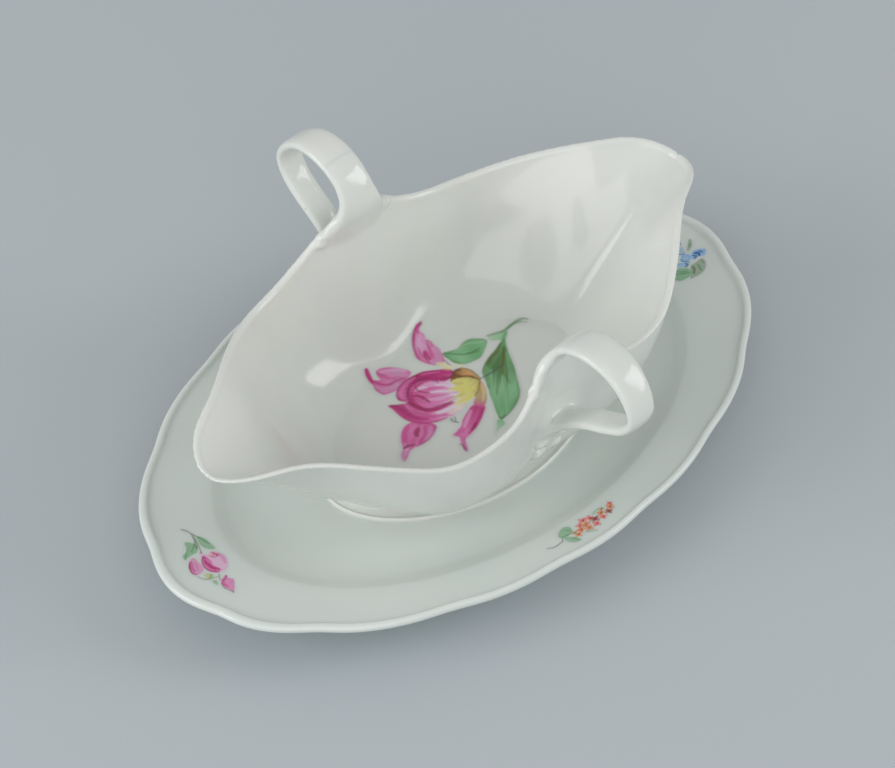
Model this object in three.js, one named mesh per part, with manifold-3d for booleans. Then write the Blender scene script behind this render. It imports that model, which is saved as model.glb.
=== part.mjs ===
// Gravy boat: a porcelain sauce boat with two spouts and two ribbon handles, fixed on an oval stand.
// It is built as a potter builds it, from separately formed clay pieces: bowl, foot collar, stand dish,
// stand foot ring, two handle straps and the moulded leaf at the lower end of each strap.
// Millimetres, +Z up. +X runs from spout to spout and +Y from handle to handle.
// The origin is on the table under the centre.
import * as THREE from 'three';
import { mergeVertices } from 'three/addons/utils/BufferGeometryUtils.js';
import Module from 'manifold-3d';

const wasm = await Module();
wasm.setup();

// Driving dimensions
const JOINT_GAP = 0.3; // clearance between pieces that are luted together
const WALL = 3.4; // thickness of the bowl's wall

const STAND_LENGTH = 261.5;
const STAND_WIDTH = 168.5;
const STAND_POWER = 1.92; // 2 is a true ellipse; below it the oval is slightly pointed
const STAND_HEIGHT = 22; // top of the beaded edge
const STAND_FLOOR = 9; // upper face of the stand's well
const STAND_UNDERSIDE = 4.4; // lower face of the stand's well
const LOBE_DEPTH = 2.2; // how far the corners of the scalloped edge sit inside its lobes
// Corners between the lobes, in degrees clockwise round one half of the edge; the other half repeats them
const LOBE_CORNERS = [16, 43, 65, 85, 104, 123, 147, 168];

const FOOT_RING = { length: 158, width: 102, wall: 6, taper: 2 };

const FOOT_LENGTH = 121; // the bowl's base, where it meets the foot collar
const FOOT_WIDTH = 78;
const FOOT_POWER = 1.8; // pointed like the bowl above it
const BOWL_BASE = 14; // underside of the bowl
const BOWL_FLOOR = 18; // inside of the bowl at its centre
const COLLAR_FLARE = 2.6; // how far the collar spreads over the stand
const COLLAR_WALL = 8;

// Outer edge of the rim over one quarter, from the handle at x = 0 round to the spout tip at y = 0
const RIM_QUARTER = [
  [0, 50.5, 80.5],
  [13, 53.7, 75.6],
  [24, 55.7, 66.3],
  [37, 54.4, 61.8],
  [52, 51.2, 61.3],
  [70, 40.3, 66.5],
  [91, 23.8, 71.5],
  [108.7, 13.4, 69.5],
  [115.5, 0, 66],
];
const SPOUT_REACH = RIM_QUARTER.at(-1)[0];
// Control points of the wall's curve from base to rim, as shares of the way out and of the way up
const SIDE_WALL = { lowReach: 0.62, lowRise: 0.06, highReach: 0.1, highDrop: 0.45 };
const SPOUT_WALL = { lowReach: 0.3, lowRise: 0.2, highReach: 0.45, highDrop: 0.3 };

// Centre line of the handle strap as distance from the bowl's middle and height
const STRAP_PATH = [
  [47, 74],
  [48.5, 84],
  [54.5, 92.5],
  [64, 96.5],
  [74, 95.5],
  [82, 89],
  [85.1, 81.5],
  [81.8, 74],
  [74.3, 68],
  [65.8, 62.8],
  [58.3, 56.4],
  [52.6, 49.5],
  [46.6, 42.5],
];
const STRAP_HALF_WIDTH = 6.8;
const STRAP_ROOT_FLARE = 5; // extra half width where the strap grows out of the rim
const STRAP_TAPER = 0.9; // half width lost towards the lower end
const STRAP_HALF_THICKNESS = 2.1;
// The straps are set by hand and differ a little: degrees turned about the root, and shift out and up
const STRAP_SETTING = {
  far: { tilt: 3.5, shift: [0, 0] },
  near: { tilt: -4, shift: [2, -2.4] },
};

// Mesh fineness
const AROUND = 72;
const STRAP_STEPS = 30;
const STRAP_SIDES = 12;

const glaze = (color) => new THREE.MeshStandardMaterial({ color, roughness: 0.12, metalness: 0 });

function smooth(low, high, value) {
  return THREE.MathUtils.smoothstep(value, low, high);
}

// One ring of a superellipse, with the power 2 giving a true ellipse
function ovalRing(length, width, z, power = 2, count = AROUND) {
  const ring = [];
  for (let i = 0; i < count; i += 1) {
    const angle = (i / count) * 2 * Math.PI;
    const c = Math.cos(angle);
    const s = Math.sin(angle);
    const x = (length / 2) * Math.sign(c) * Math.abs(c) ** (2 / power);
    const y = (width / 2) * Math.sign(s) * Math.abs(s) ** (2 / power);
    ring.push(new THREE.Vector3(x, y, z));
  }
  return ring;
}

// A closed skin over a list of rings. An open list gets a fan at each end; a looped list joins its last ring
// to its first.
function skin(rings, looped = false) {
  const count = rings[0].length;
  const points = rings.flat();
  const index = [];
  const bands = looped ? rings.length : rings.length - 1;
  for (let band = 0; band < bands; band += 1) {
    const lower = band * count;
    const upper = ((band + 1) % rings.length) * count;
    for (let i = 0; i < count; i += 1) {
      const j = (i + 1) % count;
      index.push(lower + i, lower + j, upper + j);
      index.push(lower + i, upper + j, upper + i);
    }
  }
  if (!looped) {
    for (const [start, flip] of [[0, true], [(rings.length - 1) * count, false]]) {
      const middle = new THREE.Vector3();
      for (let i = 0; i < count; i += 1) middle.addScaledVector(points[start + i], 1 / count);
      points.push(middle);
      for (let i = 0; i < count; i += 1) {
        const a = start + i;
        const b = start + ((i + 1) % count);
        index.push(...(flip ? [b, a, points.length - 1] : [a, b, points.length - 1]));
      }
    }
  }
  const geometry = new THREE.BufferGeometry().setFromPoints(points);
  geometry.setIndex(index);
  return facingOut(geometry);
}

// Turns every face over if the signed volume shows that the skin is inside out
function facingOut(geometry) {
  const position = geometry.getAttribute('position');
  const index = geometry.getIndex().array;
  const a = new THREE.Vector3();
  const b = new THREE.Vector3();
  const c = new THREE.Vector3();
  let volume = 0;
  for (let i = 0; i < index.length; i += 3) {
    a.fromBufferAttribute(position, index[i]);
    b.fromBufferAttribute(position, index[i + 1]);
    c.fromBufferAttribute(position, index[i + 2]);
    volume += a.dot(b.cross(c));
  }
  if (volume < 0) {
    const turned = Array.from(index);
    for (let i = 0; i < turned.length; i += 3) [turned[i], turned[i + 1]] = [turned[i + 1], turned[i]];
    geometry.setIndex(turned);
  }
  return geometry;
}

function toSolid(geometry) {
  const bare = geometry.clone();
  bare.deleteAttribute('normal');
  bare.deleteAttribute('uv');
  const merged = mergeVertices(bare, 1e-4);
  const vertProperties = new Float32Array(merged.getAttribute('position').array);
  const triVerts = new Uint32Array(merged.getIndex().array);
  return new wasm.Manifold(new wasm.Mesh({ numProp: 3, vertProperties, triVerts }));
}

function toGeometry(solid) {
  const mesh = solid.getMesh();
  const geometry = new THREE.BufferGeometry();
  geometry.setAttribute('position', new THREE.BufferAttribute(mesh.vertProperties, 3));
  geometry.setIndex(new THREE.BufferAttribute(mesh.triVerts, 1));
  return geometry;
}

// The rim's outer edge, evenly spaced points from the +X spout round through the +Y handle
function rimRing(count = AROUND) {
  const spoutFirst = [...RIM_QUARTER].reverse();
  const quarters = [
    spoutFirst.slice(0, -1),
    RIM_QUARTER.slice(0, -1).map(([x, y, z]) => [-x, y, z]),
    spoutFirst.slice(0, -1).map(([x, y, z]) => [-x, -y, z]),
    RIM_QUARTER.slice(0, -1).map(([x, y, z]) => [x, -y, z]),
  ];
  const points = quarters.flat().map(([x, y, z]) => new THREE.Vector3(x, y, z));
  const curve = new THREE.CatmullRomCurve3(points, true, 'centripetal');
  curve.arcLengthDivisions = 1200;
  return curve.getSpacedPoints(count).slice(0, count);
}

// The same ring moved along its outward normal in plan, and up or down
function offsetRing(ring, outward, up = 0) {
  return ring.map((point, i) => {
    const before = ring[(i + ring.length - 1) % ring.length];
    const after = ring[(i + 1) % ring.length];
    const normal = new THREE.Vector2(after.y - before.y, before.x - after.x).normalize();
    return new THREE.Vector3(point.x + normal.x * outward, point.y + normal.y * outward, point.z + up);
  });
}

// Rings of the bowl's wall between its base and its rim. At the sides the wall leaves the base nearly level,
// turns up and reaches the rim almost upright. Under the spouts it rises steeply and leans out to the lip.
function wallRings(base, rim, steps) {
  const rings = [];
  for (let step = 0; step <= steps; step += 1) {
    const t = step / steps;
    rings.push(base.map((foot, i) => {
      const edge = rim[i];
      const spout = smooth(0.35, 0.95, Math.abs(edge.x) / SPOUT_REACH);
      const bend = (name) => THREE.MathUtils.lerp(SIDE_WALL[name], SPOUT_WALL[name], spout);
      const low = foot.clone().lerp(edge, bend('lowReach'));
      low.z = THREE.MathUtils.lerp(foot.z, edge.z, bend('lowRise'));
      const high = edge.clone().lerp(foot, bend('highReach'));
      high.z = THREE.MathUtils.lerp(edge.z, foot.z, bend('highDrop'));
      return new THREE.CubicBezierCurve3(foot, low, high, edge).getPoint(t);
    }));
  }
  return rings;
}

function scaleRing(ring, factor, z) {
  return ring.map((point) => new THREE.Vector3(point.x * factor, point.y * factor, z));
}

// Outside of the bowl, from the middle of its base up to the rim
function bowlOutside(grow = 0) {
  const base = ovalRing(FOOT_LENGTH + 2 * grow, FOOT_WIDTH + 2 * grow, BOWL_BASE - grow, FOOT_POWER);
  const rim = offsetRing(rimRing(), grow);
  return [scaleRing(base, 0.5, BOWL_BASE - grow), ...wallRings(base, rim, 10)];
}

function bowlGeometry() {
  const outside = bowlOutside();
  const rim = outside.at(-1);
  const lip = [
    offsetRing(rim, -0.45, 0.9),
    offsetRing(rim, -WALL / 2, 1.5),
    offsetRing(rim, 0.45 - WALL, 0.9),
  ];
  const innerBase = ovalRing(FOOT_LENGTH - 2 * WALL, FOOT_WIDTH - 2 * WALL, BOWL_FLOOR, FOOT_POWER);
  const inside = wallRings(innerBase, offsetRing(rim, -WALL), 10).reverse();
  return skin([...outside, ...lip, ...inside, scaleRing(innerBase, 0.5, BOWL_FLOOR - 0.3)]);
}

// Everything within the bowl's outside, a little grown, for trimming what is luted to it
function bowlEnvelope() {
  const outside = bowlOutside(JOINT_GAP);
  const rim = outside.at(-1);
  const over = [
    offsetRing(rim, -0.3, 1.5),
    offsetRing(rim, -WALL, 2.2),
    scaleRing(rim, 0.5, BOWL_FLOOR + 40),
  ];
  return toSolid(skin([...outside, ...over]));
}

// Radius factor of the scalloped edge: convex lobes that meet in shallow corners
function scallop(angle) {
  const half = ((THREE.MathUtils.radToDeg(angle) % 180) + 180) % 180;
  const corners = [LOBE_CORNERS.at(-1) - 180, ...LOBE_CORNERS, LOBE_CORNERS[0] + 180];
  const mirrored = 180 - half;
  const next = corners.findIndex((corner) => corner > mirrored);
  const place = (mirrored - corners[next - 1]) / (corners[next] - corners[next - 1]);
  return 1 + (LOBE_DEPTH / (STAND_LENGTH / 2)) * (Math.sin(Math.PI * place) ** 0.8 - 0.6);
}

// Profile of the stand from the middle of its well, over the beaded edge and back underneath:
// share of the radius, then height
const STAND_PROFILE = [
  [0.3, STAND_FLOOR],
  [0.62, STAND_FLOOR],
  [0.69, STAND_FLOOR + 1],
  [0.75, STAND_FLOOR + 4],
  [0.79, STAND_HEIGHT - 6.6],
  [0.87, STAND_HEIGHT - 4.2],
  [0.955, STAND_HEIGHT - 1.7],
  [0.972, STAND_HEIGHT - 0.5],
  [0.986, STAND_HEIGHT],
  [0.998, STAND_HEIGHT - 0.9],
  [0.997, STAND_HEIGHT - 2.6],
  [0.965, STAND_HEIGHT - 4.4],
  [0.87, STAND_HEIGHT - 7.6],
  [0.78, STAND_HEIGHT - 11],
  [0.71, STAND_UNDERSIDE + 1.6],
  [0.64, STAND_UNDERSIDE],
  [0.3, STAND_UNDERSIDE],
];

function standGeometry() {
  const count = 112;
  const rings = STAND_PROFILE.map(([share, z]) => {
    const ring = ovalRing(STAND_LENGTH, STAND_WIDTH, z, STAND_POWER, count);
    return ring.map((point, i) => {
      const waved = THREE.MathUtils.lerp(1, scallop((i / count) * 2 * Math.PI), smooth(0.72, 1, share));
      return new THREE.Vector3(point.x * share * waved, point.y * share * waved, z);
    });
  });
  return skin(rings);
}

// An oval ring of rectangular section between two heights, wider at one end
function collarGeometry(levels, wall, power) {
  const rings = (inset) => levels.map(([length, width, z]) => {
    return ovalRing(length - 2 * inset, width - 2 * inset, z, power);
  });
  return skin([...rings(0), ...rings(wall).reverse()], true);
}

function footCollarGeometry() {
  const low = STAND_FLOOR + JOINT_GAP;
  const high = BOWL_BASE - JOINT_GAP;
  const spread = 2 * COLLAR_FLARE;
  return collarGeometry([
    [FOOT_LENGTH + spread, FOOT_WIDTH + spread, low],
    [FOOT_LENGTH + spread, FOOT_WIDTH + spread, low + 0.5],
    [FOOT_LENGTH + spread / 3, FOOT_WIDTH + spread / 3, low + 1.6],
    [FOOT_LENGTH, FOOT_WIDTH, high],
  ], COLLAR_WALL, FOOT_POWER);
}

function footRingGeometry() {
  const { length, width, wall, taper } = FOOT_RING;
  return collarGeometry([
    [length - taper, width - taper, 0],
    [length, width, 0.6],
    [length + taper, width + taper, STAND_UNDERSIDE - JOINT_GAP],
  ], wall, 2);
}

// The strap as rings across its centre line: a flat rounded ribbon, wide where it leaves the rim.
// side is +1 on the far handle and -1 on the near one.
function strapRings(side, grow = 0) {
  const { tilt, shift } = side > 0 ? STRAP_SETTING.far : STRAP_SETTING.near;
  const root = new THREE.Vector2(...STRAP_PATH[1]);
  const moved = new THREE.Vector2(...shift);
  const turn = THREE.MathUtils.degToRad(tilt);
  const path = STRAP_PATH.map(([out, up]) => new THREE.Vector2(out, up).rotateAround(root, turn).add(moved));
  const curve = new THREE.SplineCurve(path);
  const rings = [];
  for (let step = 0; step <= STRAP_STEPS; step += 1) {
    const t = step / STRAP_STEPS;
    const centre = curve.getPointAt(t);
    const along = curve.getTangentAt(t);
    const flare = STRAP_ROOT_FLARE * Math.exp(-((t / 0.1) ** 2));
    const halfWidth = STRAP_HALF_WIDTH + flare - STRAP_TAPER * smooth(0.6, 1, t) + grow;
    const halfThickness = STRAP_HALF_THICKNESS + grow;
    const ring = [];
    for (let i = 0; i < STRAP_SIDES; i += 1) {
      const angle = (i / STRAP_SIDES) * 2 * Math.PI;
      const across = halfWidth * Math.sign(Math.cos(angle)) * Math.abs(Math.cos(angle)) ** 0.7;
      const through = halfThickness * Math.sign(Math.sin(angle)) * Math.abs(Math.sin(angle)) ** 0.8;
      const out = centre.x - along.y * through;
      const up = centre.y + along.x * through;
      ring.push(new THREE.Vector3(across, side * out, up));
    }
    rings.push(ring);
  }
  return rings;
}

function strapGeometry(side, envelope) {
  return toGeometry(toSolid(skin(strapRings(side))).subtract(envelope));
}

// Moulded leaf under the strap's lower end: a long middle lobe between two pairs of curling side lobes
const LEAF_LOBES = [
  { x: 0, y: 47, z: 31.5, size: [2.6, 3.4, 9.5], turn: 0 },
  { x: 4, y: 47.5, z: 31, size: [2.2, 2.8, 5], turn: 35 },
  { x: -4, y: 47.5, z: 31, size: [2.2, 2.8, 5], turn: -35 },
  { x: 6.4, y: 48.5, z: 35.5, size: [1.9, 2.4, 3.8], turn: 70 },
  { x: -6.4, y: 48.5, z: 35.5, size: [1.9, 2.4, 3.8], turn: -70 },
];

function leafGeometry(side, envelope) {
  let leaf = null;
  for (const { x, y, z, size, turn } of LEAF_LOBES) {
    const lobe = new THREE.SphereGeometry(1, 10, 7);
    lobe.scale(...size);
    lobe.rotateY(THREE.MathUtils.degToRad(turn));
    lobe.translate(x, side * y, z);
    leaf = leaf ? leaf.add(toSolid(lobe)) : toSolid(lobe);
  }
  const strap = toSolid(skin(strapRings(side, JOINT_GAP)));
  return toGeometry(leaf.subtract(envelope).subtract(strap));
}

const boat = new THREE.Group();

function piece(name, geometry, color) {
  const mesh = new THREE.Mesh(geometry, glaze(color));
  mesh.name = name;
  boat.add(mesh);
}

const envelope = bowlEnvelope();
piece('stand_dish', standGeometry(), 0xdfe3dd);
piece('stand_foot_ring', footRingGeometry(), 0xe6e5de);
piece('foot_collar', footCollarGeometry(), 0xe8eae5);
piece('boat_bowl', bowlGeometry(), 0xe4e6e0);
for (const [word, side] of [['far', 1], ['near', -1]]) {
  piece(`${word}_handle_strap`, strapGeometry(side, envelope), 0xe9eae5);
  piece(`${word}_handle_leaf`, leafGeometry(side, envelope), 0xe9eae5);
}

export default boat;
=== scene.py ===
"""Looks of the porcelain gravy boat: glazed bowl, ribbon handles, scalloped stand and painted flowers.

Shapes are worked out in millimetres, in the frame of the CAD part, and each mesh is made in metres.
+X runs from spout to spout, +Y from handle to handle, +Z up.
"""

import bmesh
import bpy
import numpy as np
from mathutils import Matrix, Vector
from mathutils.bvhtree import BVHTree


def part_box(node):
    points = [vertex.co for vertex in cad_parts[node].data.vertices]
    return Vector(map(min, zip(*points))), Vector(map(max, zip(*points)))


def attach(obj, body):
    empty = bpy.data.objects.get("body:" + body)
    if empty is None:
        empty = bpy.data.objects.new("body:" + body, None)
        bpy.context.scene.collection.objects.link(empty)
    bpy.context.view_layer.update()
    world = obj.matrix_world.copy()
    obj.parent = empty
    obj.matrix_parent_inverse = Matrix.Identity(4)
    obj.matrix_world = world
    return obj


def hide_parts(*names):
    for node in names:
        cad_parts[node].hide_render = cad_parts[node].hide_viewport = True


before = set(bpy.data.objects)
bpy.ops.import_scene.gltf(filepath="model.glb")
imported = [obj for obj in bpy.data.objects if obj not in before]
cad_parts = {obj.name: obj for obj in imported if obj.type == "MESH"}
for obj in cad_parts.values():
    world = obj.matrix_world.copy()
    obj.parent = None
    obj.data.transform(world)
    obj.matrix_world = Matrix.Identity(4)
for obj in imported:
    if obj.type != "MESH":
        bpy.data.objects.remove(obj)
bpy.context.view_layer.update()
MM = 0.001


def node_box(name):
    """Lowest and highest corner of a CAD node, in millimetres."""
    low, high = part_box(name)
    return np.array(low) / MM, np.array(high) / MM


stand_low, stand_high = node_box("stand_dish")
bowl_low, bowl_high = node_box("boat_bowl")
collar_low, _ = node_box("foot_collar")
ring_low, ring_high = node_box("stand_foot_ring")

# Bowl
WALL = 3.4
# Lip: its thickness, how far its round top stands up, how far it falls towards the inside,
# and the share of the wall's height at which the wall begins to thin towards it
LIP_WALL = 2.6
LIP_RISE = 1.0
LIP_SLOPE = 0.9
LIP_REACH = 0.72
FOOT_LENGTH = 117.0
FOOT_WIDTH = 70.0
FOOT_POWER = 1.8
BAND_LENGTH = 121.0
BAND_WIDTH = 80.5
BAND_POWER = 1.9
BOWL_BASE = bowl_low[2]
BOWL_FLOOR = BOWL_BASE + 4.0
SPOUT_REACH = bowl_high[0]
# Outer edge of the rim over one quarter, from the handle at x = 0 to the spout tip at y = 0
RIM_QUARTER = [
    (0, 50.5, 80.5),
    (13, 53.7, 75.6),
    (24, 55.7, 66.3),
    (37, 54.4, 61.8),
    (52, 51.2, 61.3),
    (70, 40.3, 66.5),
    (91, 23.8, 71.5),
    (108.7, 13.4, 69.5),
    (SPOUT_REACH, 0, 66),
]
# Control points of the wall's curve from base to rim, as shares of the way out and of the way up
SIDE_WALL = {"low_reach": 0.66, "low_rise": 0.09, "high_reach": 0.06, "high_drop": 0.47}
# Shares of the way to a spout's tip between which the side's curve turns into the spout's
SPOUT_SHARE = (0.35, 0.95)
SPOUT_WALL = {"low_reach": 0.3, "low_rise": 0.2, "high_reach": 0.45, "high_drop": 0.3}

# Handle straps: distance from the bowl's middle and height along the centre line
STRAP_ROOT = [(48.3, 63), (48.3, 75)]
STRAP_PATH = [
    (48.5, 84),
    (54.5, 92.5),
    (64, 96.5),
    (74, 95.5),
    (82, 89),
    (85.1, 81.5),
    (81.8, 74),
    (74.3, 68),
    (65.8, 62.8),
    (58.3, 56.4),
    (52.6, 49.5),
    (46.6, 42.5),
    (44.5, 40),
]
STRAP_HALF_WIDTH = 7.1
STRAP_ROOT_HALF = 13.6
STRAP_NARROWING = 1.7  # what the half width loses past the first bend
STRAP_END_SPREAD = 0.8  # what it gains again at the lower end
ROOT_BEND = 3.0  # how far the root's two ends lie outside its middle, along the curved rim
STRAP_HALF_THICKNESS = 2.0
STRAP_SETTING = {"far": (3.5, 0, 0), "near": (-4, 2, -2.4)}  # degrees turned, moved out, moved up

# Stand
STAND_LENGTH = 2 * 130.75
STAND_WIDTH = 2 * 84.25
STAND_POWER = 1.92
STAND_TOP = stand_high[2]
STAND_BOTTOM = stand_low[2]
STAND_FLOOR = collar_low[2]
# Scalloped edge: how far its lobes stand out, and the corners between them over half
# a turn, in degrees from the left end
LOBE_DEPTH = 2.2
CORNER_SOFTENING = 40  # rounds of averaging that ease the corners between lobes
LOBE_CORNERS = [16, 43, 65, 85, 104, 123, 147, 168]

# Fired enamel, in millimetres: how far it stands over the glaze, and how deep its edge goes
ENAMEL_FILM = 0.03
ENAMEL_BODY = 0.05
ENAMEL_ROOT = 0.3
ENAMEL_EDGE = 0.012  # cover at which it ends
CAST_FROM = 40  # height from which it is laid on the glaze

# Mesh fineness
AROUND = 480
WALL_STEPS = 70
FUSE_VOXEL = 0.8

# No wall or strap is thicker than this
THICKEST = 6.0

# Where the handles grow out of the bowl: reach of the smooth join, and where a handle piece begins, as |y|
JOIN_REACH = 9.0
HANDLE_BEGINS = 58.5
# The skin is moved onto the join in steps, and its corners slide along it a few times after each one
JOIN_STEPS = 9
JOIN_SLIDES = 3
# Last smoothing of the join: each round pulls the corners together and pushes them back out as far
CALM_ROUNDS = 14
CALM_WEIGHTS = (0.5, -0.51)


# ---------------------------------------------------------------- shapes in millimetres


def smooth(low, high, value):
    share = np.clip((value - low) / (high - low), 0, 1)
    return share * share * (3 - 2 * share)


def mix(a, b, share):
    return a + (b - a) * share


def oval_ring(length, width, z, power=2.0, count=AROUND):
    angle = np.linspace(0, 2 * np.pi, count, endpoint=False)
    c, s = np.cos(angle), np.sin(angle)
    x = length / 2 * np.sign(c) * np.abs(c) ** (2 / power)
    y = width / 2 * np.sign(s) * np.abs(s) ** (2 / power)
    return np.stack([x, y, np.full(count, float(z))], axis=1)


def spline(points, steps, closed=False):
    """Evenly spaced points on a centripetal Catmull-Rom curve through the given ones."""
    p = np.array(points, float)
    if closed:
        p = np.concatenate([p[-1:], p, p[:2]])
    else:
        p = np.concatenate([2 * p[:1] - p[1:2], p, 2 * p[-1:] - p[-2:-1]])
    fine = []
    share = np.linspace(0, 1, 60, endpoint=False)[:, None]
    for a, b, c, d in zip(p, p[1:], p[2:], p[3:]):
        ta = np.linalg.norm(b - a) ** 0.5
        tb = ta + np.linalg.norm(c - b) ** 0.5
        tc = tb + np.linalg.norm(d - c) ** 0.5
        t = ta + (tb - ta) * share
        ab = a + (b - a) * t / ta
        bc = b + (c - b) * (t - ta) / (tb - ta)
        cd = c + (d - c) * (t - tb) / (tc - tb)
        abc = ab + (bc - ab) * t / tb
        bcd = bc + (cd - bc) * (t - ta) / (tc - ta)
        fine.append(abc + (bcd - abc) * (t - ta) / (tb - ta))
    fine.append(p[-2][None])
    fine = np.concatenate(fine)
    run = np.concatenate([[0], np.cumsum(np.linalg.norm(np.diff(fine, axis=0), axis=1))])
    wanted = np.linspace(0, run[-1], steps, endpoint=not closed)
    return np.stack([np.interp(wanted, run, fine[:, axis]) for axis in range(fine.shape[1])], axis=1)


def softened(ring, rounds):
    """A closed ring with its kinks averaged out."""
    for _ in range(rounds):
        ring = 0.5 * ring + 0.25 * (np.roll(ring, 1, 0) + np.roll(ring, -1, 0))
    return ring


def rim_ring():
    spout_first = RIM_QUARTER[::-1]
    first = spout_first[:-1]
    second = [(-x, y, z) for x, y, z in RIM_QUARTER[:-1]]
    third = [(-x, -y, z) for x, y, z in first]
    fourth = [(x, -y, z) for x, y, z in RIM_QUARTER[:-1]]
    return softened(spline(first + second + third + fourth, AROUND, closed=True), 30)


def offset_ring(ring, outward, up=0.0):
    ahead = np.roll(ring, -1, 0) - np.roll(ring, 1, 0)
    normal = np.stack([ahead[:, 1], -ahead[:, 0]], axis=1)
    normal /= np.linalg.norm(normal, axis=1, keepdims=True)
    moved = ring.copy()
    moved[:, :2] += normal * outward
    moved[:, 2] += up
    return moved


def wall_rings(base, rim, steps):
    """Rings from base to rim: nearly level and then upright at the sides, leaning out at the spouts."""
    spout = smooth(*SPOUT_SHARE, np.abs(rim[:, 0]) / SPOUT_REACH)[:, None]
    bend = {name: mix(SIDE_WALL[name], SPOUT_WALL[name], spout) for name in SIDE_WALL}
    low = mix(base, rim, bend["low_reach"])
    low[:, 2:] = mix(base[:, 2:], rim[:, 2:], bend["low_rise"])
    high = mix(rim, base, bend["high_reach"])
    high[:, 2:] = mix(rim[:, 2:], base[:, 2:], bend["high_drop"])
    rings = []
    for t in np.linspace(0, 1, steps):
        lower_part = (1 - t) ** 3 * base + 3 * t * (1 - t) ** 2 * low
        rings.append(lower_part + 3 * t * t * (1 - t) * high + t**3 * rim)
    return rings


def disc_rings(ring, z_middle, count=14):
    """Rings that fill an oval towards its middle, without the middle point."""
    return [
        np.column_stack([ring[:, :2] * share, mix(z_middle, ring[:, 2], share**2)])
        for share in np.linspace(1, 0.02, count)
    ][1:]


def close_up(mesh, fill=False):
    """Caps split into triangles and every face turned outwards. fill first covers any open end."""
    bm = bmesh.new()
    bm.from_mesh(mesh)
    if fill:
        bmesh.ops.holes_fill(bm, edges=[e for e in bm.edges if e.is_boundary])
    bmesh.ops.triangulate(bm, faces=[f for f in bm.faces if len(f.verts) > 4])
    bmesh.ops.recalc_face_normals(bm, faces=bm.faces)
    bm.to_mesh(mesh)
    bm.free()
    mesh.shade_smooth()


def new_object(name, corners, faces):
    """A mesh object from corners in millimetres."""
    mesh = bpy.data.meshes.new(name)
    mesh.from_pydata((np.asarray(corners) * MM).tolist(), [], faces)
    mesh.shade_smooth()
    obj = bpy.data.objects.new(name, mesh)
    bpy.context.scene.collection.objects.link(obj)
    return obj


def mesh_object(name, rings, looped=False):
    """A closed skin over rings of points: fans close the ends of an open list."""
    count = len(rings[0])
    points = np.concatenate(rings)
    bands = len(rings) if looped else len(rings) - 1
    faces = []
    for band in range(bands):
        lower = band * count
        upper = (band + 1) % len(rings) * count
        i = np.arange(count)
        j = (i + 1) % count
        faces.append(np.stack([lower + i, lower + j, upper + j, upper + i], axis=1))
    faces = [tuple(f) for f in np.concatenate(faces).tolist()]
    if not looped:
        faces.append(tuple(range(count))[::-1])
        top = (len(rings) - 1) * count
        faces.append(tuple(range(top, top + count)))
    obj = new_object(name, points, faces)
    close_up(obj.data)
    return obj


def outline_distance(edge, x, y):
    """Distance from each place to a closed outline, and whether the place lies within it."""
    nearest = np.full(x.shape, 1e9)
    within = np.zeros(x.shape, bool)
    for a, b in zip(edge, np.roll(edge, -1, 0)):
        step = b - a
        share = np.clip(((x - a[0]) * step[0] + (y - a[1]) * step[1]) / max(step @ step, 1e-9), 0, 1)
        nearest = np.minimum(nearest, np.hypot(x - a[0] - share * step[0], y - a[1] - share * step[1]))
        if a[1] != b[1]:
            crossing = a[0] + (y - a[1]) / (b[1] - a[1]) * (b[0] - a[0])
            within ^= ((a[1] > y) != (b[1] > y)) & (x < crossing)
    return nearest, within


def grid_shell(number):
    """Faces of a closed shell over the numbered cells of a grid, and the numbers it uses.

    The lower side repeats the upper one, with its numbers raised by their count.
    """
    a, b = number[:-1, :-1], number[1:, :-1]
    c, d = number[1:, 1:], number[:-1, 1:]
    whole = (a >= 0) & (b >= 0) & (c >= 0) & (d >= 0)
    top = np.stack([a[whole], b[whole], c[whole], d[whole]], axis=1)
    used = np.unique(top)
    renumber = np.zeros(number.max() + 1, int)
    renumber[used] = np.arange(len(used))
    top = renumber[top].tolist()
    count = len(used)
    rim = {}
    for quad in top:
        for start, end in zip(quad, quad[1:] + quad[:1]):
            if (end, start) in rim:
                del rim[(end, start)]
            else:
                rim[(start, end)] = True
    faces = top + [[k + count for k in reversed(quad)] for quad in top]
    faces += [[end, start, start + count, end + count] for start, end in rim]
    return faces, used


def shell_on_grid(name, number, tops, roots):
    faces, used = grid_shell(number)
    obj = new_object(name, np.concatenate([tops[used], roots[used]]), faces)
    close_up(obj.data)
    return obj


def bowl_shell():
    """The bowl's wall, thinner at its rounded lip, and its floor."""
    rim = rim_ring()
    base = oval_ring(FOOT_LENGTH, FOOT_WIDTH, BOWL_BASE, FOOT_POWER)
    inner_base = oval_ring(FOOT_LENGTH - 2 * WALL, FOOT_WIDTH - 2 * WALL, BOWL_FLOOR, FOOT_POWER)
    base = softened(base, 200)
    inner_base = softened(inner_base, 400)
    lip = []
    for angle in np.linspace(0, np.pi, 13)[1:-1]:
        inward = LIP_WALL / 2 * (1 - np.cos(angle))
        drop = LIP_SLOPE * inward / LIP_WALL
        lip.append(offset_ring(rim, -inward, LIP_RISE * np.sin(angle) - drop))
    outside = wall_rings(base, rim, WALL_STEPS)
    inside = wall_rings(inner_base, offset_ring(rim, -WALL), WALL_STEPS)
    top = offset_ring(rim, -LIP_WALL, -LIP_SLOPE)
    for k, ring in enumerate(inside):
        thinner = smooth(LIP_REACH, 1, k / (len(inside) - 1))
        inside[k] = mix(ring, ring + top - inside[-1], thinner) if k < len(inside) - 1 else top
    under = disc_rings(base, BOWL_BASE)[::-1]
    floor = disc_rings(inner_base, BOWL_FLOOR - 0.3)
    return mesh_object("bowl", under + outside + lip + inside[::-1] + floor)


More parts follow.
